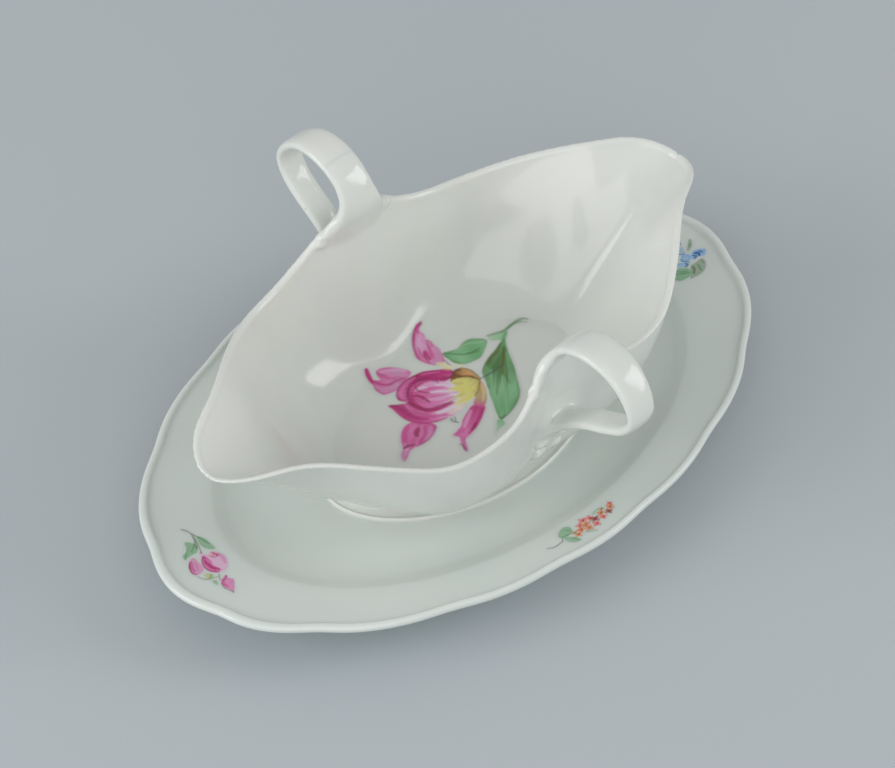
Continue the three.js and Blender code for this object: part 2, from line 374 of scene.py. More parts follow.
def strap(name, side, setting):
    """A ribbon with rounded edges along the strap's path, wide at its root in the wall."""
    turn, out_shift, up_shift = setting
    turn = np.radians(turn)
    pivot = np.array(STRAP_PATH[0], float)
    rest = np.array(STRAP_PATH, float) - pivot
    spin = np.array([[np.cos(turn), -np.sin(turn)], [np.sin(turn), np.cos(turn)]])
    moved = rest @ spin.T + pivot + (out_shift, up_shift)
    path = spline(STRAP_ROOT + moved.tolist(), 150)
    along = np.gradient(path, axis=0)
    along /= np.linalg.norm(along, axis=1, keepdims=True)
    t = np.linspace(0, 1, len(path))
    root = np.exp(-(np.maximum(t - 0.06, 0) / 0.085) ** 2)
    half_width = STRAP_HALF_WIDTH + (STRAP_ROOT_HALF - STRAP_HALF_WIDTH) * root
    half_width += STRAP_END_SPREAD * smooth(0.85, 1, t) - STRAP_NARROWING * smooth(0.3, 0.6, t)
    angle = np.linspace(0, 2 * np.pi, 48, endpoint=False)
    c, s = np.cos(angle), np.sin(angle)
    across = np.sign(c) * np.abs(c) ** 0.75
    half_thickness = STRAP_HALF_THICKNESS * (0.25 + 0.75 * smooth(0.03, 0.13, t))
    rings = []
    for k in range(len(path)):
        through = half_thickness[k] * np.sign(s) * np.abs(s) ** 0.7
        out = path[k, 0] - along[k, 1] * through
        up = path[k, 1] + along[k, 0] * through
        x = across * half_width[k]
        out += ROOT_BEND * (1 - smooth(0.03, 0.2, t[k])) * (x / STRAP_ROOT_HALF) ** 2
        rings.append(np.stack([x, side * out, up], axis=1))
    return mesh_object(name, rings)


class Skin:
    """The surface of closed pieces: signed distance to it and the way it faces, in millimetres."""

    def __init__(self, *objects):
        self.corners, self.faces = [], []
        for obj in objects:
            start = len(self.corners)
            self.corners += [v.co / MM for v in obj.data.vertices]
            self.faces += [[start + k for k in p.vertices] for p in obj.data.polygons]
        self.tree = BVHTree.FromPolygons(self.corners, self.faces)

    def measure(self, spots):
        gap = np.empty(len(spots))
        facing = np.empty((len(spots), 3))
        nearest = np.empty((len(spots), 3))
        for k, spot in enumerate(map(Vector, spots.tolist())):
            place, normal, _, distance = self.tree.find_nearest(spot)
            outside = (spot - place).dot(normal) > 0 or distance > THICKEST / 2
            gap[k] = distance if outside else -distance
            facing[k] = normal
            nearest[k] = place
        return gap, facing, nearest


def wrapped(*objects):
    """Corners and faces of one even skin round overlapping pieces."""
    whole = Skin(*objects)
    rough = new_object("rough", whole.corners, whole.faces)
    remesh = rough.modifiers.new("wrap", "REMESH")
    remesh.mode = "VOXEL"
    remesh.voxel_size = FUSE_VOXEL * MM
    mesh = bpy.data.meshes.new_from_object(rough.evaluated_get(bpy.context.evaluated_depsgraph_get()))
    bpy.data.objects.remove(rough)
    corners = np.array([v.co / MM for v in mesh.vertices])
    faces = [list(p.vertices) for p in mesh.polygons]
    edges = np.array([list(e.vertices) for e in mesh.edges])
    return corners, faces, edges


def neighbour_mean(corners, ends, others):
    """Mean place of the corners that share an edge with each corner."""
    count = len(corners)
    total = np.stack([np.bincount(ends, corners[others, k], count) for k in range(3)], axis=1)
    return total / np.bincount(ends, minlength=count)[:, None]


def joined(bowl_skin, strap_skin, corners, edges):
    """The wrap's corners moved onto the bowl and the straps, with a smooth hollow where they meet."""
    ends = np.concatenate([edges[:, 0], edges[:, 1]])
    others = np.concatenate([edges[:, 1], edges[:, 0]])
    active = np.arange(len(corners))
    facing = np.zeros_like(corners)
    for step in range(JOIN_STEPS):
        to_bowl, bowl_facing, _ = bowl_skin.measure(corners[active])
        to_strap, strap_facing, on_strap = strap_skin.measure(corners[active])
        apart = 1 - np.clip((bowl_facing * strap_facing).sum(1), 0, 1)
        if step > 0:
            # a strap's buried root doesn't swell the wall round it
            apart *= smooth(-1.2, 0.2, bowl_skin.measure(on_strap)[0])
        reach = JOIN_REACH * apart + 0.01
        share = np.clip(1 - np.abs(to_bowl - to_strap) / reach, 0, 1)
        value = np.minimum(to_bowl, to_strap) - share**2 * reach / 4
        lean = np.where(to_bowl < to_strap, share / 2, 1 - share / 2)[:, None]
        normal = mix(bowl_facing, strap_facing, lean)
        normal /= np.linalg.norm(normal, axis=1, keepdims=True) + 1e-9
        corners[active] -= np.clip(value, -2, 2)[:, None] * normal
        facing[active] = normal
        if step == 0:
            active = active[np.maximum(np.abs(to_bowl), np.abs(to_strap)) < 1.4 * JOIN_REACH]
        if step < JOIN_STEPS - 1:
            for _ in range(JOIN_SLIDES):
                pull = (neighbour_mean(corners, ends, others) - corners)[active]
                level = pull - (pull * facing[active]).sum(1, keepdims=True) * facing[active]
                corners[active] += 0.5 * level
    calm = np.zeros((len(corners), 1))
    calm[active] = 1
    for _ in range(CALM_ROUNDS):
        for weight in CALM_WEIGHTS:
            corners += weight * calm * (neighbour_mean(corners, ends, others) - corners)
    return corners


def capped_part(name, corners, normals, faces):
    """A closed piece from some faces of a larger skin, with its open ends filled and the skin's shading."""
    used = np.unique(np.concatenate(faces))
    number = -np.ones(len(corners), int)
    number[used] = np.arange(len(used))
    obj = new_object(name, corners[used], [number[face].tolist() for face in faces])
    close_up(obj.data, fill=True)
    obj.data.normals_split_custom_set_from_vertices(normals[used].tolist())
    return obj


def bowl_with_handles():
    """Bowl and both straps, grown together and parted again a little way out along each strap."""
    shell = bowl_shell()
    straps = [strap("far", 1, STRAP_SETTING["far"]), strap("near", -1, STRAP_SETTING["near"])]
    corners, faces, edges = wrapped(shell, *straps)
    corners = joined(Skin(shell), Skin(*straps), corners, edges)
    for obj in [shell, *straps]:
        bpy.data.objects.remove(obj)
    whole = new_object("whole", corners, faces)
    bm = bmesh.new()
    bm.from_mesh(whole.data)
    bpy.data.objects.remove(whole)
    for cut in (-HANDLE_BEGINS, HANDLE_BEGINS):
        everything = bm.verts[:] + bm.edges[:] + bm.faces[:]
        place = (0, cut * MM, 0)
        bmesh.ops.bisect_plane(bm, geom=everything, dist=0.02 * MM, plane_co=place, plane_no=(0, 1, 0))
    bm.normal_update()
    bm.verts.index_update()
    corners = np.array([v.co / MM for v in bm.verts])
    normals = np.array([v.normal[:] for v in bm.verts])
    faces = [np.array([v.index for v in f.verts]) for f in bm.faces]
    middle = np.array([f.calc_center_median().y / MM for f in bm.faces])
    bm.free()
    far = [face for face, y in zip(faces, middle) if y > HANDLE_BEGINS]
    near = [face for face, y in zip(faces, middle) if y < -HANDLE_BEGINS]
    body = [face for face, y in zip(faces, middle) if abs(y) <= HANDLE_BEGINS]
    return (
        capped_part("bowl", corners, normals, body),
        capped_part("far_handle", corners, normals, far),
        capped_part("near_handle", corners, normals, near),
    )


def scallop(angle):
    """Radius factor of the edge: convex lobes that meet in shallow corners."""
    half = 180 - np.degrees(angle) % 180
    corners = np.array([LOBE_CORNERS[-1] - 180, *LOBE_CORNERS, LOBE_CORNERS[0] + 180], float)
    after = np.searchsorted(corners, half, side="right")
    place = (half - corners[after - 1]) / (corners[after] - corners[after - 1])
    return 1 + LOBE_DEPTH / (STAND_LENGTH / 2) * (np.sin(np.pi * place) ** 0.8 - 0.6)


# Profile of the stand from its middle over the beaded edge and back underneath: share of the radius, height
STAND_PROFILE = [
    (0.44, STAND_FLOOR),
    (0.5, STAND_FLOOR),
    (0.56, STAND_FLOOR + 0.1),
    (0.62, STAND_FLOOR + 0.5),
    (0.68, STAND_FLOOR + 1.6),
    (0.73, STAND_FLOOR + 3.3),
    (0.765, STAND_FLOOR + 5.2),
    (0.785, STAND_TOP - 6.4),
    (0.80, STAND_TOP - 5.9),
    (0.83, STAND_TOP - 5.1),
    (0.88, STAND_TOP - 3.9),
    (0.93, STAND_TOP - 2.6),
    (0.96, STAND_TOP - 1.75),
    (0.967, STAND_TOP - 1.35),
    (0.973, STAND_TOP - 0.55),
    (0.982, STAND_TOP - 0.05),
    (0.991, STAND_TOP - 0.2),
    (0.998, STAND_TOP - 0.9),
    (0.999, STAND_TOP - 1.8),
    (0.995, STAND_TOP - 2.7),
    (0.965, STAND_TOP - 4.4),
    (0.87, STAND_TOP - 7.6),
    (0.78, STAND_TOP - 11),
    (0.71, STAND_BOTTOM + 1.6),
    (0.64, STAND_BOTTOM),
    (0.3, STAND_BOTTOM),
]


def stand_dish():
    profile = spline(STAND_PROFILE, 170)
    profile[:, 0] = np.maximum(profile[:, 0], 0.05)
    count = 720
    angle = np.linspace(0, 2 * np.pi, count, endpoint=False)
    wave = softened(scallop(angle), CORNER_SOFTENING)
    rings = []
    for share, z in profile:
        ring = oval_ring(STAND_LENGTH, STAND_WIDTH, z, STAND_POWER, count)
        waved = mix(1, wave, smooth(0.72, 1, share))
        ring[:, :2] *= (share * waved)[:, None]
        rings.append(ring)
    return mesh_object("stand", rings)


def foot_band():
    """The light moulding round the foot: a hollow that spreads from the bowl to a small round edge."""
    # share of the spread, and height
    levels = [
        (-0.25, BOWL_BASE + 1.6),
        (-0.05, BOWL_BASE - 0.4),
        (0.2, STAND_FLOOR + 3.4),
        (0.5, STAND_FLOOR + 2.1),
        (0.8, STAND_FLOOR + 1.55),
        (0.92, STAND_FLOOR + 1.75),
        (1.0, STAND_FLOOR + 1.3),
        (1.03, STAND_FLOOR + 0.6),
        (1.03, STAND_FLOOR - 0.1),
        (1.15, STAND_FLOOR - 0.6),
        (1.15, STAND_FLOOR - 1.5),
    ]
    top = oval_ring(FOOT_LENGTH - 5, FOOT_WIDTH - 5, 0, FOOT_POWER)
    bottom = oval_ring(BAND_LENGTH, BAND_WIDTH, 0, BAND_POWER)
    rings = []
    for spread, z in spline(levels, 60):
        ring = mix(top, bottom, spread)
        ring[:, 2] = z
        rings.append(softened(ring, 200))
    inner = [offset_ring(rings[-1], -20), offset_ring(rings[0], -8)]
    return mesh_object("foot", rings + inner, looped=True)


def foot_ring():
    """Low ring the stand rests on: (distance outside its outer edge, height) round its section."""
    length = ring_high[0] - ring_low[0]
    width = ring_high[1] - ring_low[1]
    top = STAND_BOTTOM + 0.3
    inner = [(-6.0, top), (-4.6, 1.8), (-4.3, 0.7), (-3.7, 0.12), (-3.0, 0)]
    outer = [(-1.9, 0), (-1.2, 0.12), (-0.7, 0.7), (-0.45, 1.8), (-0.1, top)]
    rings = [oval_ring(length + 2 * out, width + 2 * out, z) for out, z in inner + outer]
    return mesh_object("foot_ring", rings, looped=True)


# Leaf under each strap: outline over one half as width and height, from the tip up to the stem
LEAF_HALF = [
    (0.3, 20.6),
    (2.0, 22.4),
    (2.6, 25.4),
    (2.2, 27.2),
    (4.4, 25.6),
    (6.4, 26.6),
    (7.4, 29.6),
    (6.2, 32.4),
    (4.2, 32.2),
    (7.0, 34.0),
    (8.6, 36.8),
    (7.2, 39.0),
    (4.2, 39.6),
    (3.4, 42.6),
    (2.8, 46.0),
]
LEAF_RISE = 1.9
LEAF_CELL = 0.45
LEAF_ROOT = 1.2  # how deep it sits in the wall
LEAF_EDGE = -0.6  # height at which it is cut off, just inside the wall
LEAF_LIMIT = 56  # it ends at this distance from the bowl's middle, below the strap


def leaf_heights(x, z):
    """How far the leaf stands out of the wall: swelling lobes with grooves, and below zero outside it."""
    half = spline(LEAF_HALF, 60)
    edge = np.concatenate([half, half[::-1] * (-1, 1)])
    nearest, within = outline_distance(edge, x, z)
    inside = np.where(within, nearest, -nearest)
    swell = LEAF_RISE * smooth(-0.2, 2.2, inside) ** 0.7
    groove = 0.55 * np.exp(-((x / 0.7) ** 2)) * smooth(0.5, 2, inside) * smooth(44, 38, z)
    for lean, rise in ((0.5, 24.0), (0.75, 30.5)):
        vein = np.abs(z - rise - lean * np.abs(x)) / 0.9
        groove += 0.4 * np.exp(-(vein**2)) * smooth(0.3, 1.5, inside) * smooth(0.6, 2, np.abs(x))
    return swell - groove - 0.7 * (1 - within)


def leaf(name, side, ground):
    """The moulded leaf, pressed on the outside of the wall."""
    x, z = np.meshgrid(np.arange(-10, 10.01, LEAF_CELL), np.arange(19, 47.5, LEAF_CELL), indexing="ij")
    height = leaf_heights(x, z)
    keep = height > LEAF_EDGE
    grid = -np.ones(x.shape, int)
    tops, roots = [], []
    for i, j in zip(*np.nonzero(keep)):
        start = Vector((x[i, j], side * 100, z[i, j]))
        place, normal, _, _ = ground.tree.ray_cast(start, Vector((0, -side, 0)))
        if place is None or abs(place[1]) > LEAF_LIMIT:
            continue
        grid[i, j] = len(tops)
        tops.append(place + normal * height[i, j])
        roots.append(place - normal * LEAF_ROOT)
    return shell_on_grid(name, grid, np.array(tops), np.array(roots))


bowl, far_handle, near_handle = bowl_with_handles()
bowl_skin = Skin(bowl)
far_leaf = leaf("far_leaf", 1, bowl_skin)
near_leaf = leaf("near_leaf", -1, bowl_skin)
stand = stand_dish()
band = foot_band()
resting_ring = foot_ring()


# ---------------------------------------------------------------- painted enamel


def linear(colour):
    """Scene-linear values of a display colour given from 0 to 255."""
    share = np.array(colour, float) / 255
    return np.where(share <= 0.04045, share / 12.92, ((share + 0.055) / 1.055) ** 2.4)


# Enamel colours as they look on the glaze, the look of the bare glaze beside them, and the share of light
# that its shine adds over both
PIGMENT = {
    "white": (196, 184, 192),
    "blush": (186, 142, 174),
    "pale": (190, 146, 174),
    "lilac": (180, 120, 154),
    "mauve": (168, 124, 154),
    "pink": (182, 102, 148),
    "rose": (168, 70, 122),
    "deep": (150, 46, 98),
    "magenta": (154, 46, 98),
    "wine": (124, 34, 72),
    "plum": (106, 54, 82),
    "violet": (104, 84, 112),
    "cream": (188, 182, 142),
    "yellow": (182, 178, 102),
    "olive": (157, 152, 88),
    "amber": (172, 130, 82),
    "tan": (152, 134, 94),
    "umber": (110, 86, 50),
    "brown": (94, 54, 28),
    "leaf": (88, 140, 94),
    "light_leaf": (112, 158, 118),
    "mist": (144, 168, 146),
    "vein": (66, 100, 58),
    "moss": (82, 82, 44),
    "stem": (104, 128, 98),
    "ink": (70, 72, 74),
    "orange": (184, 110, 70),
    "coral": (188, 98, 90),
    "rust": (120, 50, 34),
    "sky": (108, 148, 194),
    "haze": (124, 156, 172),
    "navy": (38, 72, 114),
}
GLAZE_LOOK = (172, 178, 174)
SHINE = 0.02


def enamel_share(name):
    """Share of the glaze's own light that comes back through an enamel colour."""
    share = (linear(PIGMENT[name]) - SHINE) / (linear(GLAZE_LOOK) - SHINE)
    return np.clip(share, 0.004, 1.25)


class Enamel:
    """Colours on a fine grid over part of the glaze, laid on in washes and brush strokes."""

    def __init__(self, low, high, cell):
        self.cell = cell
        x = np.arange(low[0], high[0], cell)
        y = np.arange(low[1], high[1], cell)
        self.x, self.y = np.meshgrid(x, y, indexing="ij")
        self.colour = np.ones((*self.x.shape, 3))  # share of the glaze's own light that comes back
        self.cover = np.zeros(self.x.shape)

    def window(self, points, margin):
        low = points.min(0) - margin
        high = points.max(0) + margin
        start = np.array([self.x[0, 0], self.y[0, 0]])
        first = np.maximum(np.floor((low - start) / self.cell).astype(int), 0)
        last = np.maximum(np.ceil((high - start) / self.cell).astype(int), 0)
        return slice(first[0], last[0]), slice(first[1], last[1])

    def lay(self, window, cover, pigment):
        """Covers part of the grid. pigment is a colour's name, or a colour for every cell."""
        cover = np.clip(cover, 0, 1)
        part = self.colour[window]
        colour = enamel_share(pigment) if isinstance(pigment, str) else pigment
        part += (colour - part) * cover[..., None]
        self.cover[window] = np.maximum(self.cover[window], cover)

    def grain(self, window, seed):
        """Slow unevenness of a hand-laid colour, from 0 to 1."""
        x, y = self.x[window], self.y[window]
        wave = np.sin(x * 1.9 + seed) + np.sin(y * 2.3 + 2 * seed) + np.sin((x + y) * 3.7 + 3 * seed)
        return 0.5 + wave / 6

    def stroke(self, points, width, pigment, strength=0.85, blunt=0.5):
        """One pass of a round brush, thin at both ends. A low blunt value gives a long fine taper."""
        line = spline(points, 36)
        window = self.window(line, width + 0.6)
        spots = np.stack([self.x[window], self.y[window]], axis=-1)
        nearest = np.full(spots.shape[:2], 1e9)
        half = np.zeros(spots.shape[:2])
        for k in range(len(line) - 1):
            a, b = line[k], line[k + 1]
            step = b - a
            share = np.clip(((spots - a) @ step) / max(step @ step, 1e-9), 0, 1)
            distance = np.linalg.norm(spots - a - share[..., None] * step, axis=-1)
            t = (k + share) / (len(line) - 1)
            here = width / 2 * (0.18 + 0.82 * np.sin(np.pi * t) ** blunt)
            closer = distance - here < nearest - half
            nearest = np.where(closer, distance, nearest)
            half = np.where(closer, here, half)
        bristles = 0.8 + 0.2 * self.grain(window, width * 7 + len(points))
        self.lay(window, strength * bristles * smooth(half + 0.22, half * 0.45, nearest), pigment)

    def strokes(self, *rows):
        """Several brush strokes, each given as its width, pigment, strength and points."""
        for width, pigment, strength, *points in rows:
            self.stroke(points, width, pigment, strength)

    def wash(self, outline, pigment, strength=0.85, soft=0.3, rays_from=None, rays=9, depth=0.22):
        """A filled shape with soft edges. rays_from is the point from which its lighter streaks spread."""
        edge = spline(outline, 90, closed=True)
        window = self.window(edge, 1)
        x, y = self.x[window], self.y[window]
        nearest, within = outline_distance(edge, x, y)
        inside = np.where(within, nearest, -nearest)
        cover = strength * smooth(-soft, soft, inside) * (0.88 + 0.12 * self.grain(window, len(outline)))
        if rays_from is not None:
            angle = np.arctan2(y - rays_from[1], x - rays_from[0])
            turn = angle * rays
            wave = np.sin(turn * 2) + np.sin(turn * 3.3 + 1) + np.sin(turn * 5.1 + 2)
            cover *= 1 - depth * (0.5 + wave / 6)
        self.lay(window, cover, pigment)

    def petal(self, outline, root, tip, tones, streak=0.25, hairs=8, rim=None):
        """A shape brushed from root to tip, with streaks of the brush's hairs and a darker rim.

        tones are (share of the way from root to tip, pigment); rim is a pigment and its strength.
        """
        edge = spline(outline, 90, closed=True)
        window = self.window(edge, 1)
        x, y = self.x[window], self.y[window]
        nearest, within = outline_distance(edge, x, y)
        inside = np.where(within, nearest, -nearest)
        axis = np.array(tip, float) - root
        length = np.hypot(*axis)
        along = ((x - root[0]) * axis[0] + (y - root[1]) * axis[1]) / length**2
        across = ((x - root[0]) * axis[1] - (y - root[1]) * axis[0]) / length
        bent = across * (1 + 0.25 * along) + 0.35 * np.sin(3 * along)
        turn = bent * hairs
        hair = np.sin(turn * 0.55) + np.sin(turn * 1.1 + 4 * along + 1) + np.sin(turn * 0.31 + 2)
        hair = hair / 3 * (0.55 + 0.45 * np.sin(along * 5 + bent))
        place = along + streak * hair
        stops = [share for share, _ in tones]
        shades = np.array([enamel_share(name) for _, name in tones])
        colour = np.stack([np.interp(place, stops, shades[:, k]) for k in range(3)], axis=-1)
        self.lay(window, 0.96 * smooth(-0.3, 0.3, inside), colour)
        if rim is not None:
            pigment, strength = rim
            uneven = 0.55 + 0.45 * np.sin(along * 9 + across)
            band = smooth(1.5, 0.1, inside) * smooth(-0.3, 0.2, inside)
            self.lay(window, strength * uneven * band, pigment)

    def soften(self, rounds):
        """The slight spread of the colours in the fire."""
        for field in (self.colour, self.cover):
            for _ in range(rounds):
                field[1:-1] = 0.5 * field[1:-1] + 0.25 * (field[:-2] + field[2:])
                field[:, 1:-1] = 0.5 * field[:, 1:-1] + 0.25 * (field[:, :-2] + field[:, 2:])


def bowl_flower():
    """The large flower on the bowl's floor, lying along its length."""
    art = Enamel((-34, -22), (51, 40), 0.22)
    # stem and leaves
    art.petal(
        [(32, 15.7), (35.2, 14.4), (38.3, 12.8), (37.9, 11.5), (34.8, 10.4), (32.3, 12.1), (31, 13.7)],
        (37.9, 12.5), (31, 14.7), [(0, "light_leaf"), (1, "mist")], 0.3,
    )
    art.strokes(
        (1.5, "stem", 0.85, (49.1, 11.4), (47.3, 13.4), (44.8, 13.8), (41.6, 13.6), (38.4, 13.3),
         (35.4, 14.5), (31.8, 15.9)),
        (0.9, "leaf", 0.6, (47.9, 10.7), (45.7, 12.4), (42.8, 13.4), (38.6, 13.2)),
        (0.5, "vein", 0.7, (47.2, 12.6), (43.7, 13.7), (39.6, 13.5), (36.8, 14)),
        (2, "leaf", 0.85, (38.9, 12.5), (36.1, 11), (33.5, 9.4), (30.3, 8.1)),
    )
    art.petal(
        [(13.6, 20.7), (16.6, 19.7), (19.2, 18.8), (23.1, 19.5), (26.3, 19.1), (28.6, 17.2), (30.3, 14.5),
         (29.4, 13.3), (26, 11.2), (22.2, 9.7), (18.8, 10.2), (15.4, 11.4), (13.7, 14.1), (13.4, 17.8)],
        (30.1, 13.8), (13.7, 20.6), [(0, "light_leaf"), (0.35, "leaf"), (0.7, "light_leaf"), (1, "leaf")],
        0.22, 9, ("vein", 0.5),
    )
    art.strokes(
        (1.5, "mist", 0.35, (29.6, 14.6), (27.2, 15.5), (25.6, 17.1), (22.5, 18.5), (18.8, 18.6)),
        (0.7, "vein", 0.8, (14.1, 20.3), (16.3, 18), (18.7, 15.3), (21.7, 13.8), (26, 13.2)),
        (1.4, "vein", 0.5, (20.2, 14.2), (22.5, 13.2), (24.8, 12.4)),
        (0.6, "vein", 0.5, (13.7, 20.7), (13.5, 17.8), (13.8, 14.9), (15, 12.2)),
        (0.8, "stem", 0.7, (14.8, 20.7), (13.9, 20.4), (13.7, 19.2)),
    )
    art.petal(
        [(35.7, 10.6), (31, 9.2), (25.9, 7.9), (21.8, 6.6), (17.8, 4.2), (15.8, 1.3), (13.9, -2.5),
         (11.4, -6.2), (8.9, -10.7), (6.6, -14.6), (5.7, -17.6), (8.6, -17.6), (12.4, -16.8),
         (17.3, -14.8), (20.9, -12), (24.1, -7.7), (28.1, -1.9), (30.5, 2.5), (33.3, 7)],
        (33.9, 9.1), (5.7, -17.1),
        [(0, "leaf"), (0.35, "vein"), (0.6, "light_leaf"), (0.85, "leaf"), (1, "light_leaf")], 0.25, 8,
        ("vein", 0.5),
    )
    art.strokes(
        (3.2, "light_leaf", 0.45, (31.5, 5.1), (26.6, -1.7), (20.8, -8.4), (14.4, -13.5)),
        (2.6, "light_leaf", 0.4, (14.7, -4.2), (11.3, -9.6), (8.7, -14)),
        (2.4, "light_leaf", 0.35, (20.7, 5), (18.5, 0.9), (17.4, -1.5)),
        (2, "moss", 0.7, (33, 9.8), (28.9, 7.7), (25.1, 6.9), (21.5, 5.1)),
        (2.2, "vein", 0.75, (32.5, 7.8), (28.2, 4.8), (23.7, 2.9), (21.2, 2.6)),
        (1.5, "moss", 0.85, (32.2, 7.1), (28.3, 3.7), (24.8, 0.9), (21.8, -2.4)),
        (1.4, "vein", 0.6, (24.7, 1.9), (20.8, -1.3), (16.9, -4.6), (13.2, -8)),
        (1.3, "vein", 0.5, (22.9, -2.5), (21.4, -5.5), (20.6, -7.3)),
        (1, "moss", 0.5, (14.7, -1.6), (13.4, -3.8)),
    )
    art.stroke([(25, 1.6), (20.7, 1.2), (17.3, 1.6), (14.5, 2)], 0.55, "ink", 0.85, 0.3)
    art.strokes(
        (0.6, "vein", 0.65, (21.8, -11.1), (17.9, -14.4), (12.8, -16.7), (8.6, -17.6), (5.7, -17.6)),
        (0.9, "vein", 0.75, (8.2, -17.1), (6, -17.5), (6.2, -15.9)),
    )
    art.petal(
        [(4.8, -16.7), (5.9, -18.5), (5.2, -20.1), (2.4, -20.3), (-0.3, -21.1), (2.3, -18.9)],
        (5.4, -17.7), (0.3, -20.8), [(0, "light_leaf"), (1, "mist")], 0.3,
    )
    # loose petal above
    art.petal(
        [(20, 38), (17.9, 38.2), (14.4, 36.4), (11, 33.7), (7.9, 30), (5.4, 25.8), (5.7, 22.3),
         (6.9, 19.5), (8.6, 17.5), (11.5, 17.3), (13.2, 20.1), (14.5, 22.8), (14.8, 25.2), (14.8, 27.6),
         (14.6, 29.8), (15.7, 32.7), (15.9, 35.1), (17.8, 36.7)],
        (10.6, 17.5), (18.2, 38.1),
        [(0, "mauve"), (0.25, "pink"), (0.55, "blush"), (0.8, "pink"), (1, "deep")], 0.3, 9, ("rose", 0.7),
    )
    art.strokes(
        (1.3, "deep", 0.7, (19.5, 37.9), (17, 37.5), (13.5, 35.4), (10.1, 32.2), (7.1, 28), (5.8, 24.3)),
        (1.5, "blush", 0.8, (14.8, 34.1), (11.9, 30.6), (9.4, 26.7)),
        (1.5, "rose", 0.8, (14.1, 29.3), (12.4, 26.5), (11.1, 24.2), (9.7, 21.1)),
        (2.4, "deep", 0.9, (10.1, 26.1), (8.9, 24.1), (8.6, 21.6)),
        (0.8, "deep", 0.7, (14.3, 30.1), (14.9, 28.4), (13.3, 25.6)),
        (1.5, "rose", 0.55, (9.4, 29.4), (7.7, 25.7), (7.5, 21.4)),
        (2, "mauve", 0.8, (14, 24.9), (12.9, 21.9), (11.2, 18.7)),
        (0.6, "wine", 0.6, (9.6, 26.6), (7.8, 23.8), (7.2, 20.5)),
        (0.8, "plum", 0.6, (19.1, 38.1), (18.6, 37), (17.6, 36.8)),
        (0.5, "plum", 0.5, (17.7, 38.6), (13.7, 36.1), (10.3, 33.1), (7.1, 29)),
    )
    # loose petal to the left
    art.petal(
        [(-11.6, 34.9), (-11.1, 34.2), (-12.4, 31), (-13.4, 28.5), (-11.8, 26.9), (-10.9, 29.6),
         (-9.8, 31.2), (-6.8, 30.6), (-3.6, 27.6), (-1.7, 24.4), (-1.1, 21.8), (-3.5, 20.6), (-7.6, 20.2),
         (-10.5, 19), (-13.3, 19.4), (-15.8, 20.5), (-16.4, 23.4), (-15.6, 26.8), (-14.7, 29.8),
         (-13.4, 32.9)],
        (-1.5, 21.3), (-13.8, 30.7), [(0, "pink"), (0.3, "mauve"), (0.65, "pink"), (1, "rose")], 0.28, 8,
        ("rose", 0.6),
    )
    art.strokes(
        (1.9, "deep", 0.95, (-11.4, 34.7), (-12.7, 33.1), (-14.1, 30.3), (-15, 27.4)),
        (1.5, "deep", 0.75, (-14.3, 28.5), (-13.4, 25.9), (-11.6, 23.2), (-8, 22.4), (-4.1, 21.2)),
        (1.9, "blush", 0.8, (-9.5, 30), (-6.6, 28.4), (-3.8, 26.2), (-2, 23.4)),
        (1.4, "rose", 0.75, (-10.5, 28.3), (-9, 25.3), (-6.7, 23.7)),
        (0.8, "plum", 0.5, (-9.9, 30.4), (-9.7, 28.4), (-8.5, 26.4)),
        (1.7, "mauve", 0.8, (-15.2, 25.9), (-14.6, 22.6), (-11.7, 21.1), (-9, 20.7)),
        (0.5, "plum", 0.5, (-16, 25.8), (-16.4, 22.7), (-15.8, 20.3)),
        (1.6, "rose", 0.55, (-8.5, 23.8), (-6.1, 23.1), (-5.4, 21.1), (-8.2, 20.8)),
    )
    # petal below to the left
    art.petal(
        [(-18.7, 3.9), (-22.2, 3.7), (-25.6, 1.5), (-28.3, -1.8), (-29.6, -3.8), (-32.5, -5.9),
         (-33.1, -8.2), (-31.3, -7.7), (-27.8, -5.9), (-23.8, -6.5), (-19.8, -6.7), (-16.3, -5.7),
         (-13.1, -3.9), (-13.6, -1), (-15.9, 1.8)],
        (-13.9, 1.2), (-30.8, -5.2),
        [(0, "rose"), (0.35, "pink"), (0.7, "rose"), (0.9, "blush"), (1, "mauve")], 0.3, 8, ("rose", 0.7),
    )
    art.strokes(
        (2.4, "rose", 0.7, (-20.2, 3.1), (-23.7, 1.4), (-26.6, -1.7)),
        (1.7, "pink", 0.7, (-19.8, 0.9), (-23.3, -0.8), (-26.1, -3.1)),
        (2.6, "wine", 0.85, (-18.3, -0.1), (-20.6, -1.2), (-21.6, -2.8)),
        (1.6, "deep", 0.55, (-16.1, -1), (-19, -4.1), (-22.8, -5.4)),
        (1.6, "mauve", 0.7, (-14.5, -2.5), (-17.3, -4.9), (-20.7, -5.8)),
        (1.2, "wine", 0.85, (-29.2, -3.5), (-27, -4), (-24.6, -5.1)),
        (0.6, "plum", 0.7, (-28.8, -3.3), (-27, -3.4), (-26.2, -3.8)),
        (1.5, "mauve", 0.6, (-29.6, -3.8), (-31.5, -5.3), (-32.7, -8)),
        (0.5, "plum", 0.45, (-13.1, -3.4), (-16.1, -5.6), (-19.5, -6.6), (-23.5, -6.4)),
    )
